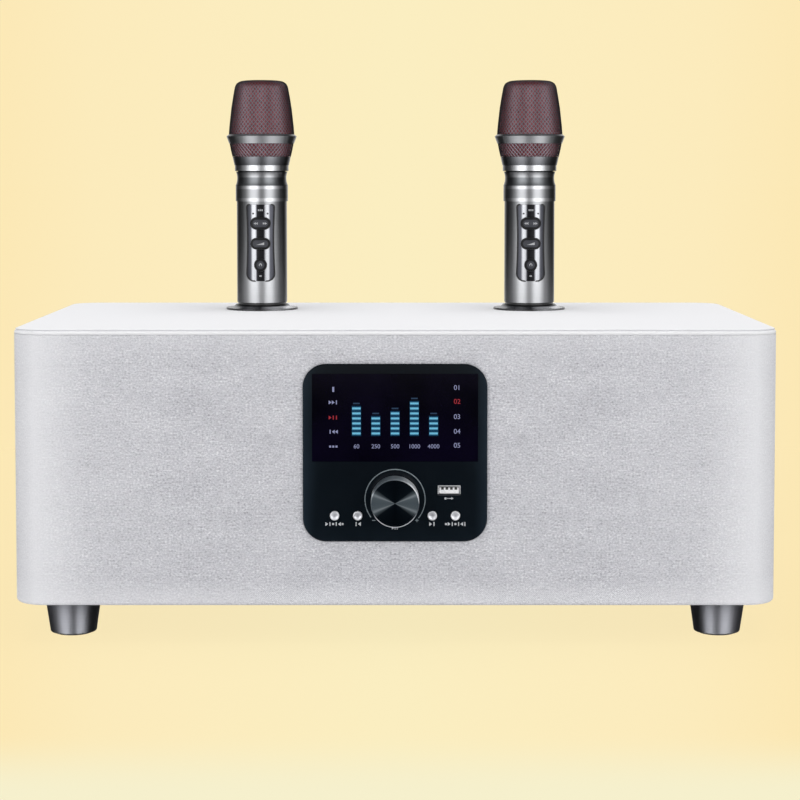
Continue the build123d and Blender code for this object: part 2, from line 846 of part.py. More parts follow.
rotor_disc_front = encoder_front + encoder_front_wall + running_fit
with BuildPart() as encoder_rotor:
    with BuildSketch(facing_back(rotor_disc_front, 0, knob_z)):
        Circle(rotor_disc_radius)
    extrude(amount=rotor_disc_thickness)
    with BuildSketch(facing_front(rotor_disc_front, 0, knob_z)):
        Circle(rotor_radius)
    extrude(amount=rotor_disc_front - bushing_end)
    with BuildSketch(facing_back(bushing_end, 0, knob_z)):
        Circle(shaft_radius + running_fit)
    extrude(amount=rotor_disc_front + rotor_disc_thickness - bushing_end, mode=Mode.SUBTRACT)
finish("encoder_rotor", encoder_rotor)

knob_back = fascia_face - knob_gap
knob_face = knob_back - knob_length
shaft_front = knob_back - knob_cavity - shaft_in_knob
shaft_back = control_y - push_travel - stop_gap
with BuildPart() as encoder_shaft:
    with BuildSketch(facing_front(shaft_back, 0, knob_z)):
        Circle(shaft_radius)
    extrude(amount=shaft_back - shaft_front)
finish("encoder_shaft", encoder_shaft)

with BuildPart() as knob:
    with BuildSketch(facing_front(knob_back, 0, knob_z)):
        Circle(knob_radius)
    extrude(amount=knob_length)
    chamfer(knob.faces().sort_by(Axis.Y)[0].edges(), knob_bevel)
    with BuildSketch(facing_front(knob_face, 0, knob_z)):
        Circle(knob_radius - knob_bevel - knob_face_rim)
    extrude(amount=-knob_dish, mode=Mode.SUBTRACT)
    with BuildSketch(facing_front(knob_back, 0, knob_z)):
        Circle(knob_radius - knob_skirt_wall)
    extrude(amount=knob_cavity, mode=Mode.SUBTRACT)
    with BuildSketch(facing_front(knob_back - knob_cavity, 0, knob_z)):
        Circle(shaft_radius)
    extrude(amount=shaft_in_knob, mode=Mode.SUBTRACT)
finish("knob", knob)

button_names = ("button_one", "button_two", "button_three", "button_four")
button_face = fascia_face - button_proud
dimple_sphere = (button_dimple_radius ** 2 + button_dimple_depth ** 2) / (2 * button_dimple_depth)
stem_end = control_y - switch_height - button_travel - stop_gap
for name, x in zip(button_names, button_xs):
    with BuildPart() as button:
        with BuildSketch(facing_front(stem_end, x, button_z)):
            Circle(button_radius)
        extrude(amount=stem_end - button_face)
        fillet(button.faces().sort_by(Axis.Y)[0].edges(), button_edge_radius)
        with Locations((x, button_face + button_dimple_depth - dimple_sphere, button_z)):
            Sphere(dimple_sphere, mode=Mode.SUBTRACT)
        with BuildSketch(facing_back(front_y + button_clearance, x, button_z)):
            Circle(button_radius + button_flange)
        extrude(amount=button_flange)
    finish(name, button)

with BuildPart() as usb_port:
    with BuildSketch(facing_front(fascia_face - usb_proud, usb_x, usb_z)):
        RectangleRounded(usb_width, usb_height, usb_wall)
    extrude(amount=fascia_face - usb_proud - control_y)
    with BuildSketch(facing_front(fascia_face - usb_proud, usb_x, usb_z)):
        Rectangle(usb_width - 2 * usb_wall, usb_height - 2 * usb_wall)
    extrude(amount=-usb_depth, mode=Mode.SUBTRACT)
    tongue_front = fascia_face + usb_proud
    with BuildSketch(facing_front(tongue_front, usb_x, usb_z - usb_tongue_thickness / 2)):
        Rectangle(usb_width - 2 * (usb_wall + usb_tongue_side), usb_tongue_thickness)
    extrude(amount=tongue_front - control_y)
finish("usb_port", usb_port)


# ------------------------------------------------------------ rear sockets
mic_socket = (mic_socket_bushing, mic_socket_radius, mic_socket_depth, mic_socket_body)
aux_socket = (aux_socket_bushing, aux_socket_radius, aux_socket_depth, aux_socket_body)
power_socket = (power_bushing, power_bore, power_depth, power_body)
sockets = [(x, mic_socket) for x in mic_socket_xs] + [(aux_socket_x, aux_socket)]
socket_end = rear_panel_face + socket_nose

with BuildPart() as rear_panel:
    with BuildSketch(facing_back(back_y, 0, fascia_z)):
        RectangleRounded(rear_panel_width, rear_panel_height, rear_panel_radius)
    extrude(amount=rear_panel_thickness)
    fillet(rear_panel.faces().sort_by(Axis.Y)[-1].edges(), rear_panel_edge_radius)
    for x, (bushing, *inside) in sockets + [(power_socket_x, power_socket)]:
        hole_seat = facing_back(rear_panel_face, x, fascia_z)
        drill([hole_seat], bushing + bushing_clearance, rear_panel_thickness)
    drill(rear_seats, screw_radius, rear_panel_thickness)
finish("rear_panel", rear_panel)


def socket(x, bushing, bore, depth, body):
    """A round socket: body behind the panel, bushing through it, nut on it and a blind bore."""
    with BuildSketch(facing_front(back_y, x, fascia_z)) as case:
        Rectangle(body, body)
    extrude(case.sketch, amount=depth)
    with BuildSketch(facing_back(back_y, x, fascia_z)) as sleeve:
        Circle(bushing)
    extrude(sleeve.sketch, amount=rear_panel_thickness + socket_nose)
    with BuildSketch(facing_back(rear_panel_face, x, fascia_z)) as nut:
        RegularPolygon(bushing * socket_nut_ratio, 6)
    extrude(nut.sketch, amount=socket_nut_height)
    drill([facing_back(socket_end, x, fascia_z)], bore, depth)


with BuildPart() as audio_jacks:
    for x, sizes in sockets:
        socket(x, *sizes)
finish("audio_jacks", audio_jacks)

with BuildPart() as power_inlet:
    socket(power_socket_x, *power_socket)
    with BuildSketch(facing_back(socket_end - power_depth, power_socket_x, fascia_z)):
        Circle(power_pin_radius)
    extrude(amount=power_depth - power_pin_recess)
finish("power_inlet", power_inlet)


# ------------------------------------------------------------ amplifier
board_top = shell_bottom + board
amplifier_y = rear_wall_inside - amplifier_setback
amplifier_plane = Plane(origin=(0, amplifier_y, board_top + amplifier_standoff))
with BuildPart() as amplifier_board:
    with BuildSketch(amplifier_plane):
        Rectangle(amplifier_width, amplifier_depth)
    extrude(amount=circuit_thickness)
    with BuildSketch(amplifier_plane):
        with GridLocations(
            amplifier_width - 2 * standoff_inset, amplifier_depth - 2 * standoff_inset, 2, 2
        ):
            Circle(standoff_radius)
    extrude(amount=-amplifier_standoff)
    with BuildSketch(amplifier_plane.offset(circuit_thickness)):
        with Locations((0, amplifier_depth / 2 - heat_sink_setback)):
            Rectangle(heat_sink_width, heat_sink_base)
            with GridLocations(fin_pitch, 1, fin_count, 1):
                Rectangle(fin_thickness, fin_length)
    extrude(amount=heat_sink_height)
    with BuildSketch(amplifier_plane.offset(circuit_thickness)):
        with GridLocations(amplifier_width - 2 * capacitor_inset, 1, 2, 1):
            Circle(capacitor_radius)
    extrude(amount=capacitor_height)
finish("amplifier_board", amplifier_board)


# ------------------------------------------------------------ microphone holders
# Sections are drawn as (radius, height over the top panel's face).
ceiling = ceiling_z - top_z
well_floor = -well_depth
hollow_radius = holder_collar_radius + holder_hollow[0] * (holder_flange_radius - holder_collar_radius)
hollow_height = holder_rim_height + holder_hollow[1] * (holder_height - holder_rim_height)


def stood(x, section, mode=Mode.ADD):
    """Turn a section about the upright axis of the microphone at x."""
    with BuildSketch(upright_section(x, mic_y, top_z)) as profile:
        section()
    revolve(profile.sketch, axis=Axis((x, mic_y, top_z), (0, 0, 1)), mode=mode)


def holder_section():
    """Ring with a trumpet flange on the top panel and a sleeve through the cabinet's top."""
    with BuildLine() as outline:
        Line((well_radius, holder_height), (holder_collar_radius, holder_height))
        ThreePointArc(
            (holder_collar_radius, holder_height),
            (hollow_radius, hollow_height),
            (holder_flange_radius, holder_rim_height),
        )
        Polyline(
            (holder_flange_radius, holder_rim_height),
            (holder_flange_radius, 0),
            (sleeve_radius, 0),
            (sleeve_radius, ceiling),
            (well_radius, ceiling),
            (well_radius, holder_height),
        )
    make_face(outline.edges())


def cup_section():
    """Cup under the cabinet's top: flange, wall and floor."""
    Polygon(
        (well_radius, ceiling),
        (sleeve_radius + cup_flange, ceiling),
        (sleeve_radius + cup_flange, ceiling - cup_flange_thickness),
        (well_radius + cup_wall, ceiling - cup_flange_thickness),
        (well_radius + cup_wall, well_floor - cup_flange_thickness),
        (0, well_floor - cup_flange_thickness),
        (0, well_floor),
        (well_radius, well_floor),
        align=None,
    )


def contacts(x, mode):
    """Two charging studs through the floor of the well, flush with it."""
    with BuildSketch(Plane(origin=(x, mic_y, top_z + well_floor))) as studs:
        with GridLocations(contact_spacing, 1, 2, 1):
            Circle(contact_radius)
    extrude(studs.sketch, amount=-contact_length, mode=mode)


with BuildPart() as holder_rings:
    for x in mic_xs.values():
        stood(x, holder_section)
finish("holder_rings", holder_rings)

with BuildPart() as holder_cups:
    for x in mic_xs.values():
        stood(x, cup_section)
        contacts(x, Mode.SUBTRACT)
finish("holder_cups", holder_cups)

with BuildPart() as charge_contacts:
    for x in mic_xs.values():
        contacts(x, Mode.ADD)
finish("charge_contacts", charge_contacts)


# ------------------------------------------------------------ microphones
tube_inside = tube_radius - tube_wall
neck_inside = spigot_radius - tube_wall
spigot_top = neck_top + spigot_height
collar_bottom = neck_top + collar_groove
collar_inside = spigot_radius + collar_clearance
tail_end = well_floor + seat_gap
key_crown = tube_radius + key_proud
key_back = key_crown - key_depth
switch_face = mic_board_setback + mic_switch_height
rocker_post_x = rocker_size[0] / 2 - rocker_post_inset
key_heights = {"rocker": rocker_height, "volume": volume_height, "power": power_height}
key_posts = {"rocker": [(-rocker_post_x, 0), (rocker_post_x, 0)], "volume": [(0, 0)], "power": [(0, 0)]}


def body_section():
    """Hollow handle: tube, raised ring zone, waisted neck and the collar's spigot."""
    with BuildLine() as outline:
        Polyline(
            (tube_inside, tube_bottom),
            (tube_radius, tube_bottom),
            (tube_radius, ring_zone),
            (ring_radius, ring_zone),
            (ring_radius, neck_bottom),
        )
        ThreePointArc((ring_radius, neck_bottom), (neck_radius, neck_waist), (neck_top_radius, neck_top))
        Polyline(
            (neck_top_radius, neck_top),
            (spigot_radius, neck_top),
            (spigot_radius, spigot_top),
            (neck_inside, spigot_top),
            (neck_inside, neck_waist),
            (tube_inside, neck_bottom),
            (tube_inside, tube_bottom),
        )
    make_face(outline.edges())


def collar_section():
    """Collar under the head: bright ring, flared part and the capsule's seat."""
    Polygon(
        (collar_inside, collar_bottom),
        (collar_radius, collar_bottom),
        (collar_radius, collar_ring_top),
        (collar_radius + collar_step, collar_ring_top),
        (collar_top_radius, collar_top),
        (capsule_bore, collar_top),
        (capsule_bore, spigot_top),
        (collar_inside, spigot_top),
        align=None,
    )


def head_section(inset):
    """The head's whole section, set in by a thickness."""
    low_ledge = band_top + inset
    crown = head_top - inset
    with BuildLine() as outline:
        Polyline(
            (0, crown),
            (0, collar_top),
            (head_foot_radius - inset, collar_top),
            (band_seat_radius - inset, band_bottom),
            (band_seat_radius - inset, low_ledge),
            (head_bottom_radius - inset, low_ledge),
        )
        ThreePointArc(
            (head_bottom_radius - inset, low_ledge),
            (head_middle_radius - inset, head_middle),
            (head_shoulder_radius - inset, head_shoulder - inset),
        )
        ThreePointArc(
            (head_shoulder_radius - inset, head_shoulder - inset),
            (head_corner_radius - inset, head_corner - inset),
            (head_dome_radius - inset, head_dome - inset),
        )
        dome(crown, head_dome_radius - inset, head_top - head_dome)
    make_face(outline.edges())


def band_section():
    """Band with a lip round the widest part of the head."""
    Polygon(
        (band_seat_radius + band_clearance, band_bottom),
        (band_bottom_radius, band_bottom),
        (band_lip_radius, band_lip),
        (head_bottom_radius + band_clearance, band_top),
        (band_seat_radius + band_clearance, band_top),
        align=None,
    )


def capsule_section():
    """Capsule on its flange."""
    Polygon(
        (0, collar_top),
        (capsule_flange_radius, collar_top),
        (capsule_flange_radius, collar_top + capsule_flange_height),
        (capsule_radius, collar_top + capsule_flange_height),
        (capsule_radius, capsule_top),
        (0, capsule_top),
        align=None,
    )


def tail_section():
    """Tail that stands in the well, with its spigot in the tube."""
    spigot = tube_inside - tail_spigot_clearance
    Polygon(
        (0, tail_end),
        (tail_radius, tail_end),
        (tail_radius, tube_bottom),
        (spigot, tube_bottom),
        (spigot, tube_bottom + tail_spigot),
        (spigot - tail_wall, tube_bottom + tail_spigot),
        (spigot - tail_wall, tail_end + tail_wall),
        (0, tail_end + tail_wall),
        align=None,
    )


def plate_outline(grow):
    """The faceplate's outline, grown by a clearance."""
    top, bottom = plate_top + grow, plate_bottom - grow
    half_top = plate_width / 2 + grow
    half_waist = plate_waist / 2 + grow
    half_low = plate_low_width / 2 + grow
    with BuildLine() as outline:
        Line((-half_top, top), (half_top, top))
        ThreePointArc((half_top, top), (half_waist, plate_waist_height), (half_low, bottom))
        Line((half_low, bottom), (-half_low, bottom))
        ThreePointArc((-half_low, bottom), (-half_waist, plate_waist_height), (-half_top, top))
    make_face(outline.edges())


def plate_solid(x, grow, inner, outer):
    """The stretch of tube wall within the faceplate's outline, between two radii."""
    with BuildPart() as solid:
        with BuildSketch(facing_front(mic_y - 2 * tube_radius, x, top_z)) as face:
            plate_outline(grow)
            corners = face.vertices().group_by(Axis.Y)
            fillet(corners[0], plate_low_radius + grow)
            corners = face.vertices().group_by(Axis.Y)
            fillet(corners[-1], plate_top_radius + grow)
        extrude(amount=-2 * tube_radius)
        with BuildSketch(Plane(origin=(x, mic_y, top_z))):
            Circle(outer)
            Circle(inner, mode=Mode.SUBTRACT)
        extrude(amount=plate_top + tube_radius, mode=Mode.INTERSECT)
    return solid.part


def key_outline(key, grow):
    """Outline of one of the three keys, grown by a clearance."""
    if key == "power":
        Circle(power_radius + grow)
    else:
        width, height = rocker_size if key == "rocker" else volume_size
        SlotOverall(width + 2 * grow, height + 2 * grow)


def key_holes(x):
    """Cut the holes for the keys through the front of the tube."""
    for key, height in key_heights.items():
        clearance = rocker_clearance if key == "rocker" else key_clearance
        with BuildSketch(facing_front(mic_y - 2 * tube_radius, x, top_z + height)) as hole:
            key_outline(key, clearance)
        extrude(hole.sketch, amount=mic_board_setback - 2 * tube_radius, mode=Mode.SUBTRACT)


def key_solid(x, key):
    """A key: its crown follows the handle, and posts behind it reach towards the switches."""
    plane = facing_front(mic_y - key_back, x, top_z + key_heights[key])
    with BuildPart() as solid:
        with BuildSketch(plane):
            key_outline(key, 0)
        extrude(amount=tube_radius)
        with BuildSketch(Plane(origin=(x, mic_y, top_z))):
            Circle(key_crown)
        extrude(amount=neck_top, mode=Mode.INTERSECT)
        travel = rocker_post_x * sin(radians(rocker_swing)) if key == "rocker" else key_travel
        with BuildSketch(plane):
            with Locations(*key_posts[key]):
                Circle(key_post_radius)
        extrude(amount=switch_face + travel + stop_gap - key_back)
    return solid.part


for side, x in mic_xs.items():
    pocket = plate_solid(x, plate_clearance, tube_radius - plate_thickness, 2 * tube_radius)
    plate = plate_solid(x, 0, tube_radius - plate_thickness, tube_radius + plate_proud)

    with BuildPart() as mic_body:
        stood(x, body_section)
        add(pocket, mode=Mode.SUBTRACT)
        key_holes(x)
    finish(f"mic_{side}_body", mic_body)

    with BuildPart() as faceplate:
        add(plate)
        key_holes(x)
    finish(f"mic_{side}_faceplate", faceplate)

    for key in key_heights:
        crown = key_solid(x, key)
        with BuildPart() as mic_key:
            add(crown)
        finish(f"mic_{side}_{key}_key", mic_key)

    with BuildPart() as collar:
        stood(x, collar_section)
    finish(f"mic_{side}_collar", collar)

    with BuildPart() as grille:
        stood(x, lambda: head_section(0))
        stood(x, lambda: head_section(mesh_thickness), Mode.SUBTRACT)
    finish(f"mic_{side}_grille", grille)

    with BuildPart() as foam:
        stood(x, lambda: head_section(mesh_thickness + foam_clearance))
        stood(x, lambda: head_section(mesh_thickness + foam_clearance + foam_thickness), Mode.SUBTRACT)
    finish(f"mic_{side}_foam", foam)

    with BuildPart() as band:
        stood(x, band_section)
    finish(f"mic_{side}_band", band)

    with BuildPart() as capsule:
        stood(x, capsule_section)
    finish(f"mic_{side}_capsule", capsule)

    with BuildPart() as tail_cap:
        stood(x, tail_section)
        fillet(tail_cap.faces().sort_by(Axis.Z)[0].edges(), tail_edge_radius)
    finish(f"mic_{side}_tail_cap", tail_cap)

    with BuildPart() as circuit_board:
        board_middle = (mic_board_bottom + mic_board_top) / 2
        with BuildSketch(facing_front(mic_y - mic_board_setback, x, top_z + board_middle)):
            Rectangle(2 * mic_board_half_width, mic_board_top - mic_board_bottom)
        extrude(amount=-mic_board_thickness)
        for key, height in key_heights.items():
            with BuildSketch(facing_front(mic_y - mic_board_setback, x, top_z + height)):
                with Locations(*key_posts[key]):
                    Rectangle(mic_switch_width, mic_switch_width)
            extrude(amount=mic_switch_height)
    finish(f"mic_{side}_circuit_board", circuit_board)

    with BuildPart() as battery:
        battery_setback = mic_board_setback - mic_board_thickness - battery_clearance - battery_radius
        with BuildSketch(Plane(origin=(x, mic_y - battery_setback, top_z + battery_bottom))):
            Circle(battery_radius)
        extrude(amount=battery_length)
    finish(f"mic_{side}_battery", battery)
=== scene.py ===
from math import cos, pi, radians, sin, sqrt

import bmesh
import bpy
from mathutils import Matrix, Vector


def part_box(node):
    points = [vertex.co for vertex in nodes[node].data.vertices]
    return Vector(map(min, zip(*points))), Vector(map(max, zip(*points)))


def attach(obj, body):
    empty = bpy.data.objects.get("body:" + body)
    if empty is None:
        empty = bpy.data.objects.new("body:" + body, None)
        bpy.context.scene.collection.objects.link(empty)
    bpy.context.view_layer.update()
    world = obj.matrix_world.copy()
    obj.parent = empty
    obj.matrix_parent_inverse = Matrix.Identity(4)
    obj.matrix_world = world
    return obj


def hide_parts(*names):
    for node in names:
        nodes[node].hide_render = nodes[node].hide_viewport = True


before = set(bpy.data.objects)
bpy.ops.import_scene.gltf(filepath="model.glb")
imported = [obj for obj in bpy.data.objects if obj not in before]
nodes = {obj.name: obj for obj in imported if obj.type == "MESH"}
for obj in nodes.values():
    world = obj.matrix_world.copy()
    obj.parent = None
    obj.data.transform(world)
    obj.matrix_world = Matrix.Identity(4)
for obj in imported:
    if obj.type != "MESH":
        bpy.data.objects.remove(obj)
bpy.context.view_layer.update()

MM = 0.001


# ---------- places, from the CAD's nodes
def middle(node):
    """Centre of a node's box."""
    low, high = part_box(node)
    return (Vector(low) + Vector(high)) / 2


fabric_low, fabric_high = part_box("fabric_wrap")
front_y = fabric_low[1]
box_middle_y = (fabric_low[1] + fabric_high[1]) / 2
top_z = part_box("top_panel")[1][2]
fascia_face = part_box("control_panel")[0][1]
display = middle("display_module")
display_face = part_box("display_module")[0][1]
fascia_half_width = (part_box("control_panel")[1][0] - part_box("control_panel")[0][0]) / 2
knob = middle("knob")
knob_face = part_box("knob")[0][1]
knob_radius = (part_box("knob")[1][0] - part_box("knob")[0][0]) / 2
BUTTONS = [f"button_{word}" for word in ("one", "two", "three", "four")]
button_places = [middle(name) for name in BUTTONS]
usb = middle("usb_port")
usb_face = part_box("usb_port")[0][1]
SIDES = ("left", "right")
mic_places = {side: middle(f"mic_{side}_body") for side in SIDES}
plate_radius = mic_places["left"].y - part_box("mic_left_faceplate")[0][1]
key_crown = mic_places["left"].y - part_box("mic_left_rocker_key")[0][1]
holder_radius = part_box("holder_rings")[1][0] - mic_places["right"].x


# ---------- materials
def rgb(*channels):
    """Linear colour from the three 0 to 255 numbers of a screen colour."""
    shares = [channel / 255 for channel in channels]
    linear = [share / 12.92 if share <= 0.04045 else ((share + 0.055) / 1.055) ** 2.4 for share in shares]
    return (*linear, 1.0)


def grey(level):
    """Linear grey of a level from 0 to 1."""
    return (level, level, level, 1.0)


MIX_COLOUR_INPUTS = (0, 6, 7)  # the mix node's factor and its two colours
MIX_COLOUR_OUTPUT = 2


class Nodes:
    """A node tree and short names for building in it."""

    def __init__(self, tree):
        self.tree = tree

    def feed(self, sockets, values):
        """Link or set sockets in order."""
        for socket, value in zip(sockets, values):
            if isinstance(value, bpy.types.NodeSocket):
                self.tree.links.new(value, socket)
            else:
                socket.default_value = value

    def node(self, kind, inputs=(), **properties):
        """A node with its first inputs linked or set."""
        made = self.tree.nodes.new(kind)
        for key, value in properties.items():
            setattr(made, key, value)
        self.feed(made.inputs, inputs)
        return made

    def place(self):
        """Place in the object's own frame, in metres."""
        return self.node("ShaderNodeTexCoord").outputs["Object"]

    def xyz(self, vector):
        """The three parts of a vector."""
        return self.node("ShaderNodeSeparateXYZ", [vector]).outputs

    def vector(self, x, y, z):
        """A vector from its three parts."""
        return self.node("ShaderNodeCombineXYZ", [x, y, z]).outputs[0]

    def math(self, operation, *values):
        """One step of arithmetic."""
        return self.node("ShaderNodeMath", values, operation=operation).outputs[0]

    def product(self, first, second):
        """Two numbers multiplied."""
        return self.math("MULTIPLY", first, second)

    def length(self, first, second):
        """Root of the sum of two squares."""
        return self.math("SQRT", self.math("ADD", self.product(first, first), self.product(second, second)))

    def distance(self, value, centre):
        """How far a number is from another, either way."""
        return self.math("ABSOLUTE", self.math("SUBTRACT", value, centre))

    def share(self, value, low, high):
        """Runs from 0 to 1 as a value runs from low to high, and on beyond both."""
        return self.math("DIVIDE", self.math("SUBTRACT", value, low), high - low)

    def scaled(self, vector, x, y, z):
        """A vector stretched by three factors."""
        made = self.node("ShaderNodeVectorMath", [vector, (x, y, z)], operation="MULTIPLY")
        return made.outputs[0]

    def noise(self, vector, scale, detail=2.0, roughness=0.5):
        """Cloudy noise about one half."""
        made = self.node("ShaderNodeTexNoise")
        names = ("Vector", "Scale", "Detail", "Roughness")
        self.feed([made.inputs[name] for name in names], [vector, scale, detail, roughness])
        return made.outputs["Fac"]

    def ramp(self, factor, stops, smooth=False):
        """A colour ramp with (place, colour) stops."""
        made = self.node("ShaderNodeValToRGB", [factor])
        made.color_ramp.interpolation = "EASE" if smooth else "LINEAR"
        elements = made.color_ramp.elements
        while len(elements) < len(stops):
            elements.new(0.5)
        for element, (place, colour) in zip(elements, stops):
            element.position = place
            element.color = colour
        return made.outputs["Color"]

    def level(self, factor, low, high):
        """Runs from low to high as a factor runs from 0 to 1."""
        made = self.node("ShaderNodeMapRange", [factor, 0.0, 1.0, low, high])
        return made.outputs[0]

    def mix(self, factor, first, second):
        """Two colours mixed."""
        made = self.node("ShaderNodeMix", data_type="RGBA")
        self.feed([made.inputs[place] for place in MIX_COLOUR_INPUTS], [factor, first, second])
        return made.outputs[MIX_COLOUR_OUTPUT]

    def end(self, name, shader):
        """Link a shader to the surface of the output node of a name."""
        self.tree.links.new(shader, self.tree.nodes[name].inputs["Surface"])


class Finish(Nodes):
    """A Principled material."""

    def __init__(self, name, colour, roughness, metallic=0.0, **sockets):
        self.material = bpy.data.materials.new(name)
        self.material.use_nodes = True
        super().__init__(self.material.node_tree)
        self.shader = self.tree.nodes["Principled BSDF"]
        sockets.update(Base_Color=colour, Roughness=roughness, Metallic=metallic)
        for socket, value in sockets.items():
            self.shader.inputs[socket.replace("_", " ")].default_value = value

    def drive(self, name, value):
        """Let a node's output set one of the shader's sockets."""
        self.tree.links.new(value, self.shader.inputs[name])

    def colour(self, value):
        """Let a node's output set the colour."""
        self.drive("Base Color", value)

    def rough(self, value):
        """Let a node's output set the roughness."""
        self.drive("Roughness", value)

    def bump(self, height, distance):
        """Bump as deep as a distance in metres."""
        made = self.node("ShaderNodeBump")
        names = ("Strength", "Distance", "Height")
        self.feed([made.inputs[name] for name in names], [1.0, distance, height])
        self.drive("Normal", made.outputs[0])

    def upright(self):
        """Gloss of parts turned about an upright axis spreads up and down."""
        self.drive("Tangent", self.vector(0.0, 0.0, 1.0))


def dress(finish, *names):
    """Give CAD nodes a material."""
    for name in names:
        data = bpy.data.objects[name].data
        data.materials.clear()
        data.materials.append(finish.material)


def cloth_finish():
    """Pale grey speaker cloth: a fine melange plain weave, made paler by painted light round the corners and
    at its top and bottom hem.
    """
    warp_pitch, weft_pitch = 1.1 * MM, 1.3 * MM
    made = Finish("speaker_cloth", rgb(200, 200, 205), 0.92, Sheen_Weight=0.25, Sheen_Roughness=0.5)
    x, y, z = made.xyz(made.place())
    along = made.math("SUBTRACT", made.math("ABSOLUTE", x), made.distance(y, box_middle_y))
    flat = made.vector(along, z, 0.0)
    yarn = made.noise(made.scaled(flat, 820.0, 1050.0, 1.0), 1.0, 1.0)
    slub = made.noise(made.scaled(flat, 170.0, 760.0, 1.0), 1.0)
    cloud = made.noise(made.scaled(flat, 24.0, 60.0, 1.0), 1.0)
    warp = made.math("SINE", made.product(along, 2 * pi / warp_pitch))
    weft = made.math("SINE", made.product(z, 2 * pi / weft_pitch))
    weave = made.product(warp, weft)
    tone = made.product(yarn, 0.6)
    for part, weight in ((slub, 0.25), (cloud, 0.15), (weave, 0.018)):
        tone = made.math("ADD", tone, made.product(part, weight))
    cloth = made.ramp(tone, [
        (0.30, rgb(150, 150, 157)), (0.44, rgb(190, 190, 196)), (0.56, rgb(208, 208, 213)),
        (0.70, rgb(242, 242, 245)),
    ])
    # Painted light: paler towards the box's left and right corners, falling off again at the very sides.
    edge = made.ramp(made.math("DIVIDE", made.math("ABSOLUTE", x), fabric_high[0]), [
        (0.55, grey(0.0)), (0.80, grey(0.18)), (0.94, grey(1.0)), (0.985, grey(0.7)), (1.0, grey(0.3)),
    ])
    # Painted light: paler towards the bottom hem and the top hem.
    painted_hem_light = made.ramp(made.share(z, fabric_low[2], fabric_high[2]), [
        (0.0, grey(0.5)), (0.03, grey(0.42)), (0.1, grey(0.0)), (0.9, grey(0.0)), (1.0, grey(0.22)),
    ])
    painted_light_pale = rgb(238, 238, 241)
    made.colour(made.mix(made.product(edge, 0.8), made.mix(painted_hem_light, cloth, painted_light_pale), painted_light_pale))
    made.bump(made.math("ADD", made.product(weave, 0.5), yarn), 0.12 * MM)
    return made


def lacquer_finish(name, colour, roughness):
    """Sprayed lacquer with a faint orange peel."""
    made = Finish(name, colour, roughness, Specular_IOR_Level=0.0)
    place = made.place()
    grain = made.noise(place, 420.0)
    made.rough(made.level(made.noise(place, 35.0), roughness - 0.06, roughness + 0.06))
    made.bump(grain, 0.02 * MM)
    return made


def top_finish():
    """White lacquer of the top panel, with a thin grey painted shade where its edge meets the rim."""
    white, painted_gap_shade = rgb(241, 241, 243), rgb(210, 210, 214)
    shade_drop, shade_reach = 0.4 * MM, 0.3 * MM
    made = lacquer_finish("panel_lacquer", white, 0.5)
    z = made.xyz(made.place())[2]
    # Painted shade: a thin grey band just under the panel's top face, along its edge.
    low = made.math("LESS_THAN", made.distance(z, top_z - shade_drop), shade_reach)
    cloud = made.level(made.noise(made.place(), 9.0), 0.0, 0.06)
    made.colour(made.mix(low, made.mix(cloud, white, painted_gap_shade), painted_gap_shade))
    return made


def plastic_finish(name, colour, roughness, grain=0.03 * MM):
    """Moulded plastic with a fine texture."""
    made = Finish(name, colour, roughness)
    place = made.place()
    made.rough(made.level(made.noise(place, 90.0), roughness - 0.05, roughness + 0.05))
    made.bump(made.noise(place, 2200.0, 1.0), grain)
    return made


BRUSHING_DEPTH = 0.01 * MM


def brushed_finish(name, colour, roughness, stretch, anisotropy=0.0):
    """Metal with fine brushing, which runs where stretch is small; turned metal spreads its gloss upright."""
    made = Finish(name, colour, roughness, 1.0, Anisotropic=anisotropy)
    place = made.place()
    lines = made.noise(made.scaled(place, *stretch), 1.0, 3.0, 0.6)
    made.rough(made.level(lines, roughness - 0.05, roughness + 0.06))
    made.colour(made.mix(made.level(lines, 0.0, 0.18), colour, grey(0.02)))
    made.bump(lines, BRUSHING_DEPTH)
    if anisotropy:
        made.upright()
    return made


def plated_finish():
    """Bright plated shell of the port, with painted shade that darkens it under its tongue."""
    painted_shade_height = usb.z - 2.1 * MM
    made = Finish("plated_shell", rgb(232, 233, 236), 0.3, 0.3)
    grain = made.noise(made.place(), 700.0)
    z = made.xyz(made.place())[2]
    shell = made.ramp(grain, [(0.3, rgb(206, 207, 211)), (0.7, rgb(240, 241, 243))])
    # Painted shade: the shell is dark below the tongue's height.
    made.colour(made.mix(made.math("LESS_THAN", z, painted_shade_height), shell, rgb(62, 64, 69)))
    made.rough(made.level(grain, 0.25, 0.36))
    return made


def speckled_finish(name, colour, speck, scale, roughness):
    """Rubber, foam, paper, board or print with fine specks of a second colour."""
    made = Finish(name, colour, roughness)
    grain = made.noise(made.place(), scale, 3.0, 0.6)
    made.colour(made.ramp(grain, [(0.35, speck), (0.6, colour)]))
    made.bump(grain, 0.1 * MM)
    return made


def grained_wood_finish():
    """Fibreboard painted black."""
    made = Finish("painted_board", rgb(30, 30, 32), 0.7)
    fibre = made.noise(made.scaled(made.place(), 40.0, 700.0, 700.0), 1.0, 4.0, 0.6)
    made.colour(made.ramp(fibre, [(0.35, rgb(20, 20, 22)), (0.65, rgb(44, 43, 43))]))
    made.bump(fibre, 0.1 * MM)
    return made


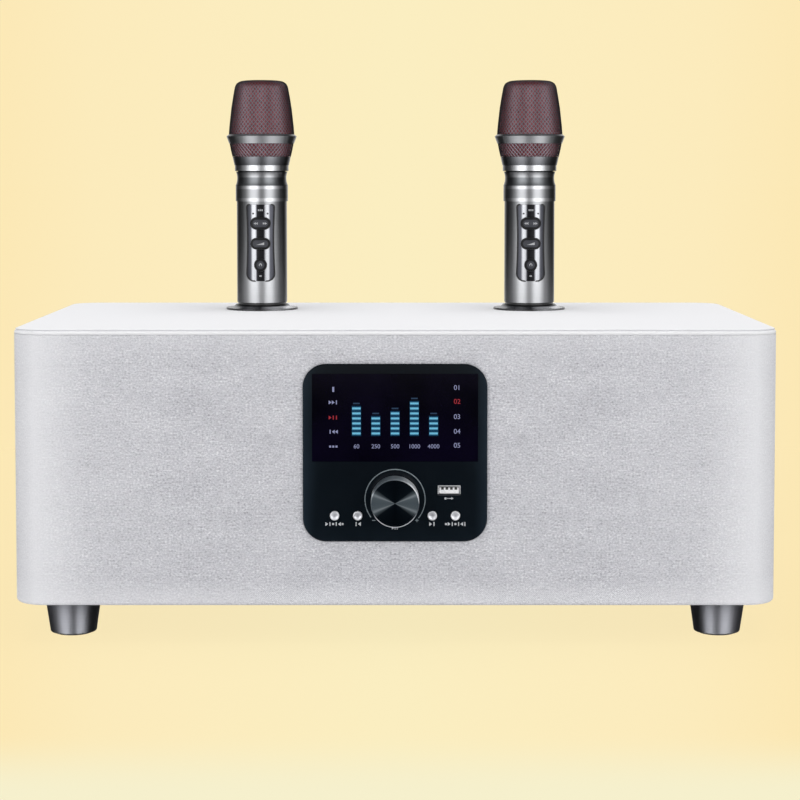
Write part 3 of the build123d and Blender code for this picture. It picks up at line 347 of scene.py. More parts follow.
def fascia_finish():
    """Gloss black acrylic, with painted reflection that makes it a little paler and bluer towards its sides
    and its lower edge.
    """
    fade = 80 * MM
    made = Finish("fascia_acrylic", rgb(8, 14, 20), 0.14, Specular_IOR_Level=0.12)
    x, _, z = made.xyz(made.place())
    side = made.math("DIVIDE", made.math("ABSOLUTE", x), fascia_half_width)
    low = made.share(z, display.z, display.z - fade)
    edge = made.math("MAXIMUM", made.math("POWER", side, 5.0), made.product(low, 0.6))
    cloud = made.noise(made.place(), 30.0)
    edge = made.math("ADD", edge, made.product(made.math("SUBTRACT", cloud, 0.5), 0.3))
    # Painted reflection: paler and bluer towards the sides and the lower edge.
    made.colour(made.ramp(edge, [(0.0, rgb(8, 13, 19)), (0.45, rgb(14, 21, 27)), (1.0, rgb(30, 40, 49))]))
    made.rough(made.level(made.noise(made.place(), 60.0), 0.1, 0.18))
    return made


def lens_finish():
    """Near-black violet display window with a faint haze."""
    made = Finish("display_window", rgb(4, 2, 15), 0.12, Specular_IOR_Level=0.08)
    haze = made.noise(made.place(), 28.0, 3.0)
    made.colour(made.ramp(haze, [(0.35, rgb(2, 1, 9)), (0.65, rgb(7, 4, 21))]))
    made.rough(made.level(made.noise(made.place(), 80.0), 0.09, 0.16))
    return made


def glow_finish(name, colour):
    """Lit marks of the display."""
    made = Finish(name, grey(0.0), 0.4, Specular_IOR_Level=0.1, Emission_Strength=1.0)
    dots = made.noise(made.place(), 2600.0, 1.0)
    dark = tuple(part * 0.72 for part in colour[:3]) + (1.0,)
    lit = made.ramp(dots, [(0.3, dark), (0.65, colour)])
    made.drive("Emission Color", lit)
    return made


def spun_finish():
    """Knob: circular spin lines, with painted sheen in two wedge shapes on its face, a painted bright lower
    edge and a painted silver side.
    """
    face_back = knob_face + 0.3 * MM
    face_radius = knob_radius - 0.5 * MM
    made = Finish("spun_metal", rgb(80, 90, 98), 0.3)
    x, y, z = made.xyz(made.place())
    right = made.math("SUBTRACT", x, knob.x)
    up = made.math("SUBTRACT", z, knob.z)
    radius = made.length(right, up)
    slope = made.math("ARCTAN2", made.math("ABSOLUTE", up), made.math("ABSOLUTE", right))
    # Painted sheen on the face: its colour follows the angle from the level, brightest in two wedge shapes to
    # the left and right.
    painted_sheen_wedges = made.ramp(made.math("DIVIDE", slope, pi / 2), [
        (0.0, rgb(78, 87, 93)), (0.17, rgb(84, 93, 99)), (0.245, rgb(128, 136, 141)),
        (0.31, rgb(73, 81, 86)), (0.42, rgb(12, 18, 24)), (1.0, rgb(6, 11, 16)),
    ])
    # Painted highlights on the side: a bright crescent above, mostly towards the upper right, and a bright
    # arc below, along the chamfered edge.
    turn = made.math("ARCTAN2", up, right)
    upper = made.ramp(made.math("DIVIDE", turn, pi), [
        (0.0, rgb(120, 126, 132)), (0.08, rgb(226, 230, 234)), (0.26, rgb(220, 224, 228)),
        (0.42, rgb(120, 128, 134)), (0.62, rgb(84, 92, 99)), (0.82, rgb(70, 78, 85)),
        (0.88, rgb(186, 194, 198)), (0.94, rgb(120, 128, 134)), (1.0, rgb(92, 100, 106)),
    ])
    lower = made.ramp(made.math("DIVIDE", turn, -pi), [
        (0.0, rgb(70, 78, 84)), (0.14, rgb(84, 92, 98)), (0.24, rgb(214, 218, 224)),
        (0.76, rgb(214, 218, 224)), (0.86, rgb(84, 92, 98)), (1.0, rgb(70, 78, 84)),
    ])
    side = made.mix(made.math("GREATER_THAN", up, 0.0), lower, upper)
    face = made.product(made.math("LESS_THAN", y, face_back), made.math("LESS_THAN", radius, face_radius))
    lines = made.noise(made.vector(radius, 0.0, 0.0), 5200.0)
    made.colour(made.mix(face, side, painted_sheen_wedges))
    made.drive("Metallic", made.level(face, 0.25, 1.0))
    made.rough(made.level(lines, 0.26, 0.4))
    made.bump(lines, BRUSHING_DEPTH)
    return made


def button_finish():
    """Bright push button, its face turned to a shallow dimple, with painted shade that greys its middle and
    darkens a thin ring at its rim.
    """
    rim = 2.85 * MM
    made = Finish("button_metal", rgb(236, 237, 240), 0.3, 0.25)
    x, _, z = made.xyz(made.place())
    outer, inner = button_places[3].x, button_places[2].x
    side = made.distance(made.math("ABSOLUTE", x), (outer + inner) / 2)
    across = made.math("SUBTRACT", side, (outer - inner) / 2)
    radius = made.length(across, made.math("SUBTRACT", z, button_places[0].z))
    swirl = made.noise(made.place(), 700.0)
    uneven = made.product(made.math("SUBTRACT", swirl, 0.5), 0.35)
    # Painted shade: greyer in the middle of the dimple and dark at the rim.
    made.colour(made.ramp(made.math("ADD", made.math("DIVIDE", radius, rim), uneven), [
        (0.1, rgb(158, 159, 165)), (0.5, rgb(202, 203, 208)), (0.93, rgb(214, 215, 219)),
        (1.0, rgb(70, 71, 76)),
    ]))
    made.bump(swirl, 0.02 * MM)
    return made


def from_axis(made, x, y):
    """How far a place is to the right of its own microphone's axis, and how far behind it."""
    axis = mic_places["right"]
    across = made.math("SUBTRACT", x, made.product(made.math("SIGN", x), axis.x))
    return across, made.math("SUBTRACT", y, axis.y)


def turned_finish(name, low, stops, sides):
    """Turned metal, darker at its left and right sides by painted dark reflection as deep as sides, with
    (height, colour) stops in millimetres over the top panel.
    """
    made = Finish(name, rgb(150, 151, 153), 0.34, 1.0, Anisotropic=0.8)
    place = made.place()
    x, y, z = made.xyz(place)
    high = stops[-1][0]
    height = made.share(z, top_z + low * MM, top_z + high * MM)
    lines = made.noise(made.scaled(place, 20.0, 20.0, 2600.0), 1.0, 3.0, 0.6)
    zones = made.ramp(height, [((at - low) / (high - low), tone) for at, tone in stops])
    metal = made.mix(made.level(lines, 0.0, 0.2), zones, rgb(55, 56, 60))
    across, back = from_axis(made, x, y)
    turn = made.math("DIVIDE", made.math("ABSOLUTE", across), made.length(across, back))
    # Painted dark reflection: the colour darkens towards the left and right of the axis.
    dark = made.ramp(turn, [(0.66, grey(0.0)), (0.9, grey(sides))])
    made.colour(made.mix(dark, metal, rgb(20, 22, 23)))
    made.rough(made.level(lines, 0.29, 0.4))
    made.bump(lines, BRUSHING_DEPTH)
    made.upright()
    return made


def handle_finish():
    """Microphone handle: brushed gunmetal with two bright rings and a darker waist."""
    black, foot, handle = rgb(16, 16, 18), rgb(150, 151, 153), rgb(128, 129, 131)
    band, neck = rgb(168, 169, 171), rgb(90, 92, 94)
    # The last number sets how deep the painted dark reflection at the sides goes.
    return turned_finish("handle_gunmetal", 0.0, [
        (1.2, black), (2.0, foot), (25.0, foot), (60.0, handle), (72.0, handle), (72.3, band),
        (74.2, band), (74.6, handle), (80.2, handle), (80.6, band), (82.2, band), (82.8, neck),
        (87.6, neck), (88.7, rgb(140, 141, 143)), (91.2, rgb(118, 119, 121)), (91.9, black),
    ], 0.7)


def collar_finish():
    """The collar, with its bright lower edge, and the band round the head."""
    edge, under_band, band = rgb(166, 167, 169), rgb(124, 125, 128), rgb(152, 153, 155)
    # The last number sets how deep the painted dark reflection at the sides goes.
    return turned_finish("collar_metal", 92.0, [
        (92.3, rgb(20, 20, 22)), (92.6, edge), (95.8, edge), (96.4, rgb(84, 85, 88)),
        (102.0, rgb(108, 109, 112)), (108.0, under_band), (110.4, under_band), (110.7, band),
        (117.0, band),
    ], 0.6)


def wire_finish():
    """Wire cloth of the heads: its strands together shade like one round metal skin."""
    made = brushed_finish("head_wire", rgb(100, 94, 100), 0.34, (500.0, 500.0, 500.0))
    ramp_height, steepest = 160 * MM, 12 * MM
    x, y, z = made.xyz(made.place())
    across, back = from_axis(made, x, y)
    # The skin faces up where lean is over a half, and down where it is under.
    lean = made.ramp(made.share(z, top_z, top_z + ramp_height), [
        (0.70, grey(0.42)), (0.73, grey(0.6)), (0.91, grey(0.62)), (0.94, grey(1.0)),
    ])
    rise = made.product(made.math("SUBTRACT", lean, 0.5), 2 * steepest)
    around = made.vector(across, back, rise)
    skin = made.node("ShaderNodeVectorMath", [around], operation="NORMALIZE").outputs[0]
    strand = made.scaled(made.node("ShaderNodeNewGeometry").outputs["Normal"], 0.4, 0.4, 0.4)
    made.drive("Normal", made.node("ShaderNodeVectorMath", [skin, strand], operation="ADD").outputs[0])
    return made


def holder_finish():
    """Gloss black flange that a microphone stands in, with painted reflections: a bright streak to its right
    and fainter ones to its left.
    """
    made = Finish("holder_gloss", rgb(84, 85, 90), 0.24, 0.5)
    x, y, _ = made.xyz(made.place())
    across, back = from_axis(made, x, y)
    # Painted reflections across the flange, brightest to its right.
    painted_reflections = made.ramp(made.share(across, -holder_radius, holder_radius), [
        (0.03, rgb(60, 61, 65)), (0.12, rgb(118, 119, 123)), (0.28, rgb(66, 67, 71)),
        (0.36, rgb(92, 93, 97)), (0.44, rgb(60, 61, 65)), (0.50, rgb(40, 41, 45)),
        (0.56, rgb(120, 121, 125)), (0.72, rgb(190, 191, 195)), (0.88, rgb(212, 213, 217)),
        (0.97, rgb(90, 91, 95)),
    ])
    # The zones keep the painted reflections off the inner collar and dim them at the outer rim.
    zones = made.ramp(made.math("DIVIDE", made.length(across, back), holder_radius), [
        (0.76, grey(0.0)), (0.79, grey(1.0)), (0.95, grey(1.0)), (0.975, grey(0.3)),
    ])
    made.colour(made.mix(zones, rgb(10, 10, 12), painted_reflections))
    made.rough(made.level(made.noise(made.place(), 300.0), 0.2, 0.3))
    return made


def faceplate_finish():
    """Chrome plate with a charcoal strip down its middle, and a painted sheen: bright beside the strip,
    darker towards its sides.
    """
    strip_half_width = 2.2 * MM
    made = Finish("plate_chrome", rgb(196, 197, 202), 0.26, 1.0, Anisotropic=0.7, Specular_IOR_Level=0.1)
    place = made.place()
    across = made.distance(made.math("ABSOLUTE", made.xyz(place)[0]), mic_places["right"].x)
    lines = made.noise(made.scaled(place, 2600.0, 2600.0, 20.0), 1.0, 3.0, 0.6)
    strip = made.math("LESS_THAN", across, strip_half_width)
    # The charcoal strip is the plate's own colour; the bright and dark stripes beside it are painted sheen.
    strip_and_painted_sheen = made.ramp(made.math("DIVIDE", across, 10 * MM), [
        (0.0, rgb(14, 14, 17)), (0.22, rgb(14, 14, 17)), (0.25, rgb(66, 67, 71)),
        (0.34, rgb(132, 133, 136)), (0.52, rgb(132, 133, 136)), (0.64, rgb(54, 55, 60)),
        (1.0, rgb(44, 45, 50)),
    ])
    made.colour(made.mix(made.level(lines, 0.0, 0.2), strip_and_painted_sheen, rgb(40, 40, 44)))
    made.drive("Metallic", made.level(strip, 1.0, 0.0))
    made.rough(made.level(lines, 0.22, 0.32))
    made.bump(lines, 0.008 * MM)
    made.upright()
    return made


def key_finish():
    """Dark rubber keys with black rims."""
    made = Finish("key_rubber", rgb(72, 73, 77), 0.42, Specular_IOR_Level=0.12)
    place = made.place()
    x, _, z = made.xyz(place)
    across = made.distance(made.math("ABSOLUTE", x), mic_places["right"].x)
    nearest = None
    for middle_z, half_width, half_height in KEYS.values():
        rise = made.math("SUBTRACT", z, middle_z)
        reach = made.math("MAXIMUM", made.math("SUBTRACT", across, half_width - half_height), 0.0)
        share = made.math("DIVIDE", made.length(reach, rise), half_height)
        nearest = share if nearest is None else made.math("MINIMUM", nearest, share)
    made.colour(made.ramp(nearest, [
        (0.0, rgb(66, 67, 72)), (0.56, rgb(58, 59, 64)), (0.68, rgb(8, 8, 10)), (1.0, rgb(6, 6, 8)),
    ]))
    made.rough(made.level(made.noise(place, 900.0), 0.36, 0.5))
    made.bump(made.noise(place, 2600.0, 1.0), 0.02 * MM)
    return made


# ---------- flat shapes, in millimetres
def polygon(points):
    """A list of one shape: its points and its faces."""
    return [(list(points), [list(range(len(points)))])]


def disc(u, v, radius, steps=24):
    """A round dot by its middle."""
    angles = [2 * pi * i / steps for i in range(steps)]
    return polygon([(u + radius * cos(angle), v + radius * sin(angle)) for angle in angles])


def arc(u, v, inner, outer, start, end, steps):
    """The part of a ring between two angles in degrees."""
    count = steps + 1
    angles = [radians(start + (end - start) * i / steps) for i in range(count)]
    points = [(u + r * cos(a), v + r * sin(a)) for r in (inner, outer) for a in angles]
    faces = [[i, count + i, count + i + 1, i + 1] for i in range(steps)]
    return [(points, faces)]


def bar(u, v, width, height):
    """An upright rectangle by its middle."""
    return polygon([(u + a * width / 2, v + b * height / 2) for a, b in ((-1, -1), (1, -1), (1, 1), (-1, 1))])


def arrow(u, v, width, height):
    """A triangle that points right, or left for a negative width."""
    return polygon([(u - width / 2, v - height / 2), (u + width / 2, v), (u - width / 2, v + height / 2)])


def wedge(u, v, width, height, steps=8):
    """A wedge that rises to the right, in strips that can follow a round surface."""
    blunt = 0.1                  # its low end, as a share of its height
    shapes = []
    for i in range(steps):
        left, right = i / steps, (i + 1) / steps
        low, high = max(left, blunt) * height, right * height
        shapes += polygon([
            (u + (left - 0.5) * width, v), (u + (right - 0.5) * width, v),
            (u + (right - 0.5) * width, v + high), (u + (left - 0.5) * width, v + low),
        ])
    return shapes


# As shares of an icon's height: from one to the next, an arrow's and a bar's width, a square's side.
ICON_STEP, ICON_ARROW, ICON_BAR, ICON_SQUARE = 0.8, 0.7, 0.25, 0.5


def icons(u, v, kinds, size=2.3):
    """A row of plain transport icons: > and < are arrows, | a bar, . a square."""
    shapes = []
    for i, kind in enumerate(kinds):
        at = u + (i - (len(kinds) - 1) / 2) * size * ICON_STEP
        if kind in "<>":
            shapes += arrow(at, v, size * (ICON_ARROW if kind == ">" else -ICON_ARROW), size)
        elif kind == "|":
            shapes += bar(at, v, size * ICON_BAR, size)
        else:
            shapes += bar(at, v, size * ICON_SQUARE, size * ICON_SQUARE)
    return shapes


def between(outer, inner):
    """The band between two outlines with as many points."""
    count = len(outer)
    faces = [[i, (i + 1) % count, count + (i + 1) % count, count + i] for i in range(count)]
    return [(list(outer) + list(inner), faces)]


# ---------- objects
def added(name, data):
    """A new object in the scene."""
    made = bpy.data.objects.new(name, data)
    bpy.context.scene.collection.objects.link(made)
    return made


def made_mesh(name, mesh, finish):
    """Finish a bmesh as an object of that name."""
    bmesh.ops.recalc_face_normals(mesh, faces=mesh.faces)
    data = bpy.data.meshes.new(name)
    mesh.to_mesh(data)
    mesh.free()
    data.materials.append(finish.material)
    return added(name, data)


def printed(name, shapes, place, finish, low=0.0, high=0.05, body="speaker_box"):
    """Flat shapes as a thin layer on a surface: place maps them and a lift to the object."""
    mesh = bmesh.new()
    for points, faces in shapes:
        top = [mesh.verts.new(place(u, v, high)) for u, v in points]
        under = [mesh.verts.new(place(u, v, low)) for u, v in points]
        edges = {}
        for face in faces:
            mesh.faces.new([top[i] for i in face])
            mesh.faces.new([under[i] for i in reversed(face)])
            for a, b in zip(face, face[1:] + face[:1]):
                key = frozenset((a, b))
                edges[key] = None if key in edges else (a, b)
        for a, b in filter(None, edges.values()):
            mesh.faces.new([top[b], top[a], under[a], under[b]])
    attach(made_mesh(name, mesh, finish), body)


def on_front(face_y):
    """Places on a face that looks at the front, millimetres right of the box's middle and over the floor."""
    return lambda u, v, lift: Vector((u * MM, face_y - lift * MM, v * MM))


def on_handle(side, radius):
    """Places millimetres across and up from the top panel on the front of a handle."""
    centre, face = mic_places[side], radius / MM

    def place(u, v, lift):
        reach = face + lift
        across = u * reach / face
        ahead = sqrt(reach * reach - across * across)
        return Vector((centre.x + across * MM, centre.y - ahead * MM, top_z + v * MM))

    return place


def round_place(centre, radius, turn, height):
    """Place at a radius and a share of a turn about an upright axis, and a height over the top panel."""
    angle = 2 * pi * turn
    return centre.x + radius * MM * cos(angle), centre.y + radius * MM * sin(angle), top_z + height * MM


def smoothed(piece):
    """The piece with all its faces shaded smooth."""
    for face in piece.data.polygons:
        face.use_smooth = True
    return piece


def turned(name, profile, centre, steps, finish, body):
    """A closed profile of (radius, height) in millimetres, turned about an upright axis."""
    mesh = bmesh.new()
    rows = [
        [mesh.verts.new(round_place(centre, radius, i / steps, height)) for i in range(steps)]
        for radius, height in profile
    ]
    for low, high in zip(rows, rows[1:] + rows[:1]):
        for i in range(steps):
            mesh.faces.new([low[i], low[(i + 1) % steps], high[(i + 1) % steps], high[i]])
    piece = smoothed(made_mesh(name, mesh, finish))
    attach(piece, body)
    return piece


# ---------- cloth
def make_cover():
    """The cloth glued round the box, as one welded skin with its hem turned under."""
    mesh = bmesh.new()
    mesh.from_mesh(nodes["fabric_wrap"].data)
    bmesh.ops.remove_doubles(mesh, verts=mesh.verts, dist=0.002 * MM)
    piece = smoothed(made_mesh("cloth_cover", mesh, cloth_finish()))
    piece.data.set_sharp_from_angle(angle=radians(35))
    flat = piece.modifiers.new("flat_faces", "WEIGHTED_NORMAL")
    flat.keep_sharp = True
    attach(piece, "speaker_box")
    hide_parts("fabric_wrap")


# ---------- display, in millimetres from its middle
COLUMNS = (-22.5, -11.25, 0.0, 11.25, 22.5)
BANDS = ("60", "250", "500", "1000", "4000")
BRIGHT = (6, 4, 5, 7, 4)
BAR_WIDTH, BAR_HEIGHT, BAR_PITCH, BAR_DROP = 4.9, 1.15, 2.93, 9.2
GLOW_TOP, BAR_TOP = 0.03, 0.06
LEFT_COLUMN, RIGHT_COLUMN = -36.0, 36.2
LEFT_ROWS = (16.6, 9.0, 0.1, -8.2, -16.9)
RIGHT_ROWS = (17.5, 9.4, 0.5, -8.1, -16.3)
RED_NUMBER = 1               # its row
BAND_HEIGHT, NUMBER_HEIGHT = 2.5, 2.9
FIGURE_SHARE = 0.72          # a figure's height in the font's size
FIGURE_DEPTH = 0.025 * MM


def make_display():
    """Level bars, icons and numbers on the display's window."""
    place = on_front(display_face)
    middle_z = display.z / MM
    base = middle_z - BAR_DROP
    bright, dim, glow = [], [], []
    for x, count in zip(COLUMNS, BRIGHT):
        reach = count * BAR_PITCH
        for row in range(count):
            bright += bar(x, base + row * BAR_PITCH, BAR_WIDTH, BAR_HEIGHT)
        dim += bar(x, base + reach, BAR_WIDTH * 0.8, BAR_HEIGHT * 0.7)
        glow += bar(x, base + (reach - BAR_PITCH) / 2, BAR_WIDTH + 0.5, reach)
    lit, unlit = glow_finish("bars_lit", rgb(112, 192, 226)), glow_finish("bars_dim", rgb(36, 60, 86))
    printed("display_bars", bright, place, lit, GLOW_TOP, BAR_TOP)
    printed("display_bars_dim", dim, place, unlit, GLOW_TOP, BAR_TOP)
    halo = glow_finish("bars_glow", rgb(2, 60, 90))
    printed("display_bars_glow", glow, place, halo, 0.0, GLOW_TOP)
    white, red = glow_finish("marks_white", rgb(146, 150, 186)), glow_finish("marks_red", rgb(164, 44, 54))
    first, second, third, fourth, last = (middle_z + row for row in LEFT_ROWS)
    marks = bar(LEFT_COLUMN, first, 1.1, 2.9)
    for row, kinds in ((second, ">>|"), (fourth, "|<<"), (last, "...")):
        marks += icons(LEFT_COLUMN, row, kinds)
    printed("display_icons", marks, place, white)
    printed("display_icon_red", icons(LEFT_COLUMN, third, ">||"), place, red)
    for i, (x, text) in enumerate(zip(COLUMNS, BANDS)):
        lettering(f"display_band_{i + 1}", text, x, last, BAND_HEIGHT, white)
    for i, row in enumerate(RIGHT_ROWS):
        finish = red if i == RED_NUMBER else white
        lettering(f"display_number_{i + 1}", f"0{i + 1}", RIGHT_COLUMN, middle_z + row, NUMBER_HEIGHT, finish)


def lettering(name, text, x, z, height, finish):
    """Plain numbers on the display, centred on x and z in millimetres."""
    words = bpy.data.curves.new(name, "FONT")
    words.body = text
    words.size = height * MM / FIGURE_SHARE
    words.align_x = words.align_y = "CENTER"
    words.extrude = FIGURE_DEPTH
    words.materials.append(finish.material)
    piece = added(name, words)
    piece.rotation_euler = (pi / 2, 0.0, 0.0)
    piece.location = (x * MM, display_face - FIGURE_DEPTH, z * MM)
    bpy.context.view_layer.update()
    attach(piece, "speaker_box")


# ---------- control panel, in millimetres
SCALE_INNER, SCALE_OUTER, SCALE_START, SCALE_END = 17.3, 17.85, -39, 217
MINUS_REACH, PLUS_REACH, SIGN_DROP = 12.4, 12.8, 12.4
SIGN_WIDTH, SIGN_LINE = 1.9, 0.5
KNOB_ICON_DROP, BUTTON_ICON_DROP, PORT_ICON_DROP = 17.0, 4.9, 4.7
TONGUE_WIDTH, TONGUE_HEIGHT, TONGUE_LENGTH, TONGUE_DROP, TONGUE_RECESS = 11.4, 3.4, 8.0, 0.1, 0.3
PIN_COUNT, PIN_PITCH, PIN_WIDTH, PIN_HEIGHT, PIN_THICKNESS, PIN_RISE = 4, 2.6, 1.5, 1.6, 0.1, 1.2


def make_panel_prints():
    """The knob's scale, and plain icons by the buttons and the port."""
    place = on_front(fascia_face)
    dark = speckled_finish("print_grey", rgb(120, 132, 138), rgb(84, 96, 102), 1500.0, 0.5)
    white = speckled_finish("print_white", rgb(205, 208, 212), rgb(150, 154, 160), 1500.0, 0.5)
    x, z = knob.x / MM, knob.z / MM
    scale = arc(x, z, SCALE_INNER, SCALE_OUTER, SCALE_START, SCALE_END, 96)
    printed("knob_scale", scale, place, dark)
    minus_x, plus_x, sign_z = x - MINUS_REACH, x + PLUS_REACH, z - SIGN_DROP
    signs = bar(minus_x, sign_z, SIGN_WIDTH, SIGN_LINE) + bar(plus_x, sign_z, SIGN_WIDTH, SIGN_LINE)
    for arm in (0.6, -0.6):
        signs += bar(plus_x, sign_z + arm, SIGN_LINE, 0.7)
    printed("knob_signs", signs, place, dark)
    low = button_places[0].z / MM - BUTTON_ICON_DROP
    far, near = button_places[3].x / MM, button_places[2].x / MM
    marks = icons(x, z - KNOB_ICON_DROP, ">||", 1.6)
    rows = ((-near, "|<", 2.4), (near, ">|", 2.4), (-far, ">|.|<.", 2.3), (far, ".>|.|<|", 2.3))
    for at, kinds, size in rows:
        marks += icons(at, low, kinds, size)
    printed("panel_icons", marks, place, white)
    x, z = usb.x / MM, usb.z / MM - PORT_ICON_DROP
    fork = bar(x - 0.2, z, 3.2, 0.4) + disc(x - 2.1, z, 0.7) + arrow(x + 1.9, z, 1.3, 1.5)
    printed("port_icon", fork, place, white)


def make_port():
    """White tongue and dark contacts of the port."""
    white = speckled_finish("port_tongue", rgb(242, 242, 243), rgb(222, 222, 225), 900.0, 0.4)
    dark = speckled_finish("port_contact", rgb(14, 14, 15), rgb(34, 32, 30), 900.0, 0.4)
    place = on_front(usb_face + TONGUE_RECESS * MM)
    x, z = usb.x / MM, usb.z / MM
    tongue = bar(x, z - TONGUE_DROP, TONGUE_WIDTH, TONGUE_HEIGHT)
    printed("port_tongue", tongue, place, white, -TONGUE_LENGTH, 0.0)
    pins = []
    for i in range(PIN_COUNT):
        pins += bar(x + (i - (PIN_COUNT - 1) / 2) * PIN_PITCH, z + PIN_RISE, PIN_WIDTH, PIN_HEIGHT)
    printed("port_contacts", pins, place, dark, 0.0, PIN_THICKNESS)


# ---------- microphones
def key_shape(key):
    """Height, half width and half height of a key."""
    low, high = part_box(f"mic_right_{key}_key")
    return (low[2] + high[2]) / 2, (high[0] - low[0]) / 2, (high[2] - low[2]) / 2


KEYS = {key: key_shape(key) for key in ("rocker", "volume", "power")}

# Heights over the top panel and sizes, in millimetres.
PLATE_TOP, PLATE_WAIST, PLATE_BOTTOM = 70.2, 36.0, 19.5
PLATE_HALF_WIDTHS = {PLATE_TOP: 9.25, PLATE_WAIST: 8.7, PLATE_BOTTOM: 9.5}
PLATE_TOP_RADIUS, PLATE_LOW_RADIUS = 1.8, 5.0
GASKET_REACH, GASKET_OVERLAP, GASKET_LOW, GASKET_TOP = 0.45, 0.5, -0.05, 0.14
MARK_TOP = 0.06
HEAD_PROFILE = [             # radius and height of the wire head, from its foot to its crown
    (19.5, 101.8), (20.4, 105.5), (21.1, 109.0), (21.5, 111.5), (21.9, 116.7), (21.5, 122.0), (20.2, 133.8),
    (18.9, 142.0), (17.7, 148.5), (17.1, 150.2), (15.9, 151.3), (14.0, 152.1), (11.7, 152.5), (7.0, 152.7),
    (2.5, 152.8),
]
CROWN_RADIUS = 17.5          # the crown lies inside this radius
CORE_RADIUS = 0.6            # the foam's hole at its top
WIRES_AROUND, WIRE_SPACING, WIRE_THICKNESS, WIRE_INSET = 50, 1.55, 0.56, 0.35
FOAM_STEPS, FOAM_SPACING = 56, 1.6
FOAM_INSET, FOAM_DROP = 1.4, 0.9
FOAM_THICKNESS, FOAM_CROWN_THICKNESS = 3.2, 3.0


def plate_half_width(height):
    """Half the faceplate's width at a height, on the curve through its three known widths."""
    total = 0.0
    for at, value in PLATE_HALF_WIDTHS.items():
        for other in PLATE_HALF_WIDTHS:
            if other != at:
                value *= (height - other) / (at - other)
        total += value
    return total


def plate_edge(grow, steps=14):
    """The faceplate's outline with its rounded corners, grown by a width."""
    start, end = PLATE_BOTTOM + PLATE_LOW_RADIUS, PLATE_TOP - PLATE_TOP_RADIUS

    def corner(height, radius, first):
        """A quarter turn from an angle in degrees, at the plate's right side."""
        centre = plate_half_width(height) + grow - radius
        angles = [radians(first + 90 * i / steps) for i in range(steps + 1)]
        return [(centre + radius * cos(angle), height + radius * sin(angle)) for angle in angles]

    rises = [start + (end - start) * i / steps for i in range(1, steps)]
    half = corner(start, PLATE_LOW_RADIUS + grow, -90)
    half += [(plate_half_width(rise) + grow, rise) for rise in rises]
    half += corner(end, PLATE_TOP_RADIUS + grow, 0)
    return half + [(-u, v) for u, v in reversed(half)]


def along(profile, spacing):
    """Points along a profile, a spacing apart."""
    points, rest = [profile[0]], 0.0
    for (r0, z0), (r1, z1) in zip(profile, profile[1:]):
        length = sqrt((r1 - r0) ** 2 + (z1 - z0) ** 2)
        reached = spacing - rest
        while reached <= length:
            share = reached / length
            points.append((r0 + (r1 - r0) * share, z0 + (z1 - z0) * share))
            reached += spacing
        rest = length - (reached - spacing)
    return points


def inset(profile, inward, down):
    """A profile moved inward, and down where it is the crown."""
    return [(max(r - inward, CORE_RADIUS), z - (down if r < CROWN_RADIUS else 0.0)) for r, z in profile]


def make_head(side, wire):
    """Woven wire head: crossed wires in a diamond lattice."""
    centre = mic_places[side]
    mesh = bmesh.new()
    lattice = []
    for row, (radius, height) in enumerate(inset(along(HEAD_PROFILE, WIRE_SPACING), WIRE_INSET, WIRE_INSET)):
        turns = [(i + 0.5 * (row % 2)) / WIRES_AROUND for i in range(WIRES_AROUND)]
        lattice.append([mesh.verts.new(round_place(centre, radius, turn, height)) for turn in turns])
    for row, (under, across, over) in enumerate(zip(lattice, lattice[1:], lattice[2:])):
        for i in range(WIRES_AROUND):
            left = i if row % 2 else (i - 1) % WIRES_AROUND
            right = (left + 1) % WIRES_AROUND
            mesh.faces.new([under[i], across[right], over[i], across[left]])
    piece = made_mesh(f"mic_{side}_wire_head", mesh, wire)
    strands = piece.modifiers.new("strands", "WIREFRAME")
    strands.thickness = WIRE_THICKNESS * MM
    strands.use_even_offset = False
    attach(piece, f"mic_{side}")
    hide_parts(f"mic_{side}_grille")


def make_foam(side, foam):
    """Foam lining of the head."""
    outer = inset(along(HEAD_PROFILE, FOAM_SPACING), FOAM_INSET, FOAM_DROP)
    inner = inset(outer[::-1], FOAM_THICKNESS, FOAM_CROWN_THICKNESS)
    piece = turned(f"mic_{side}_foam_liner", outer + inner, mic_places[side], FOAM_STEPS, foam, f"mic_{side}")
    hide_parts(f"mic_{side}_foam")


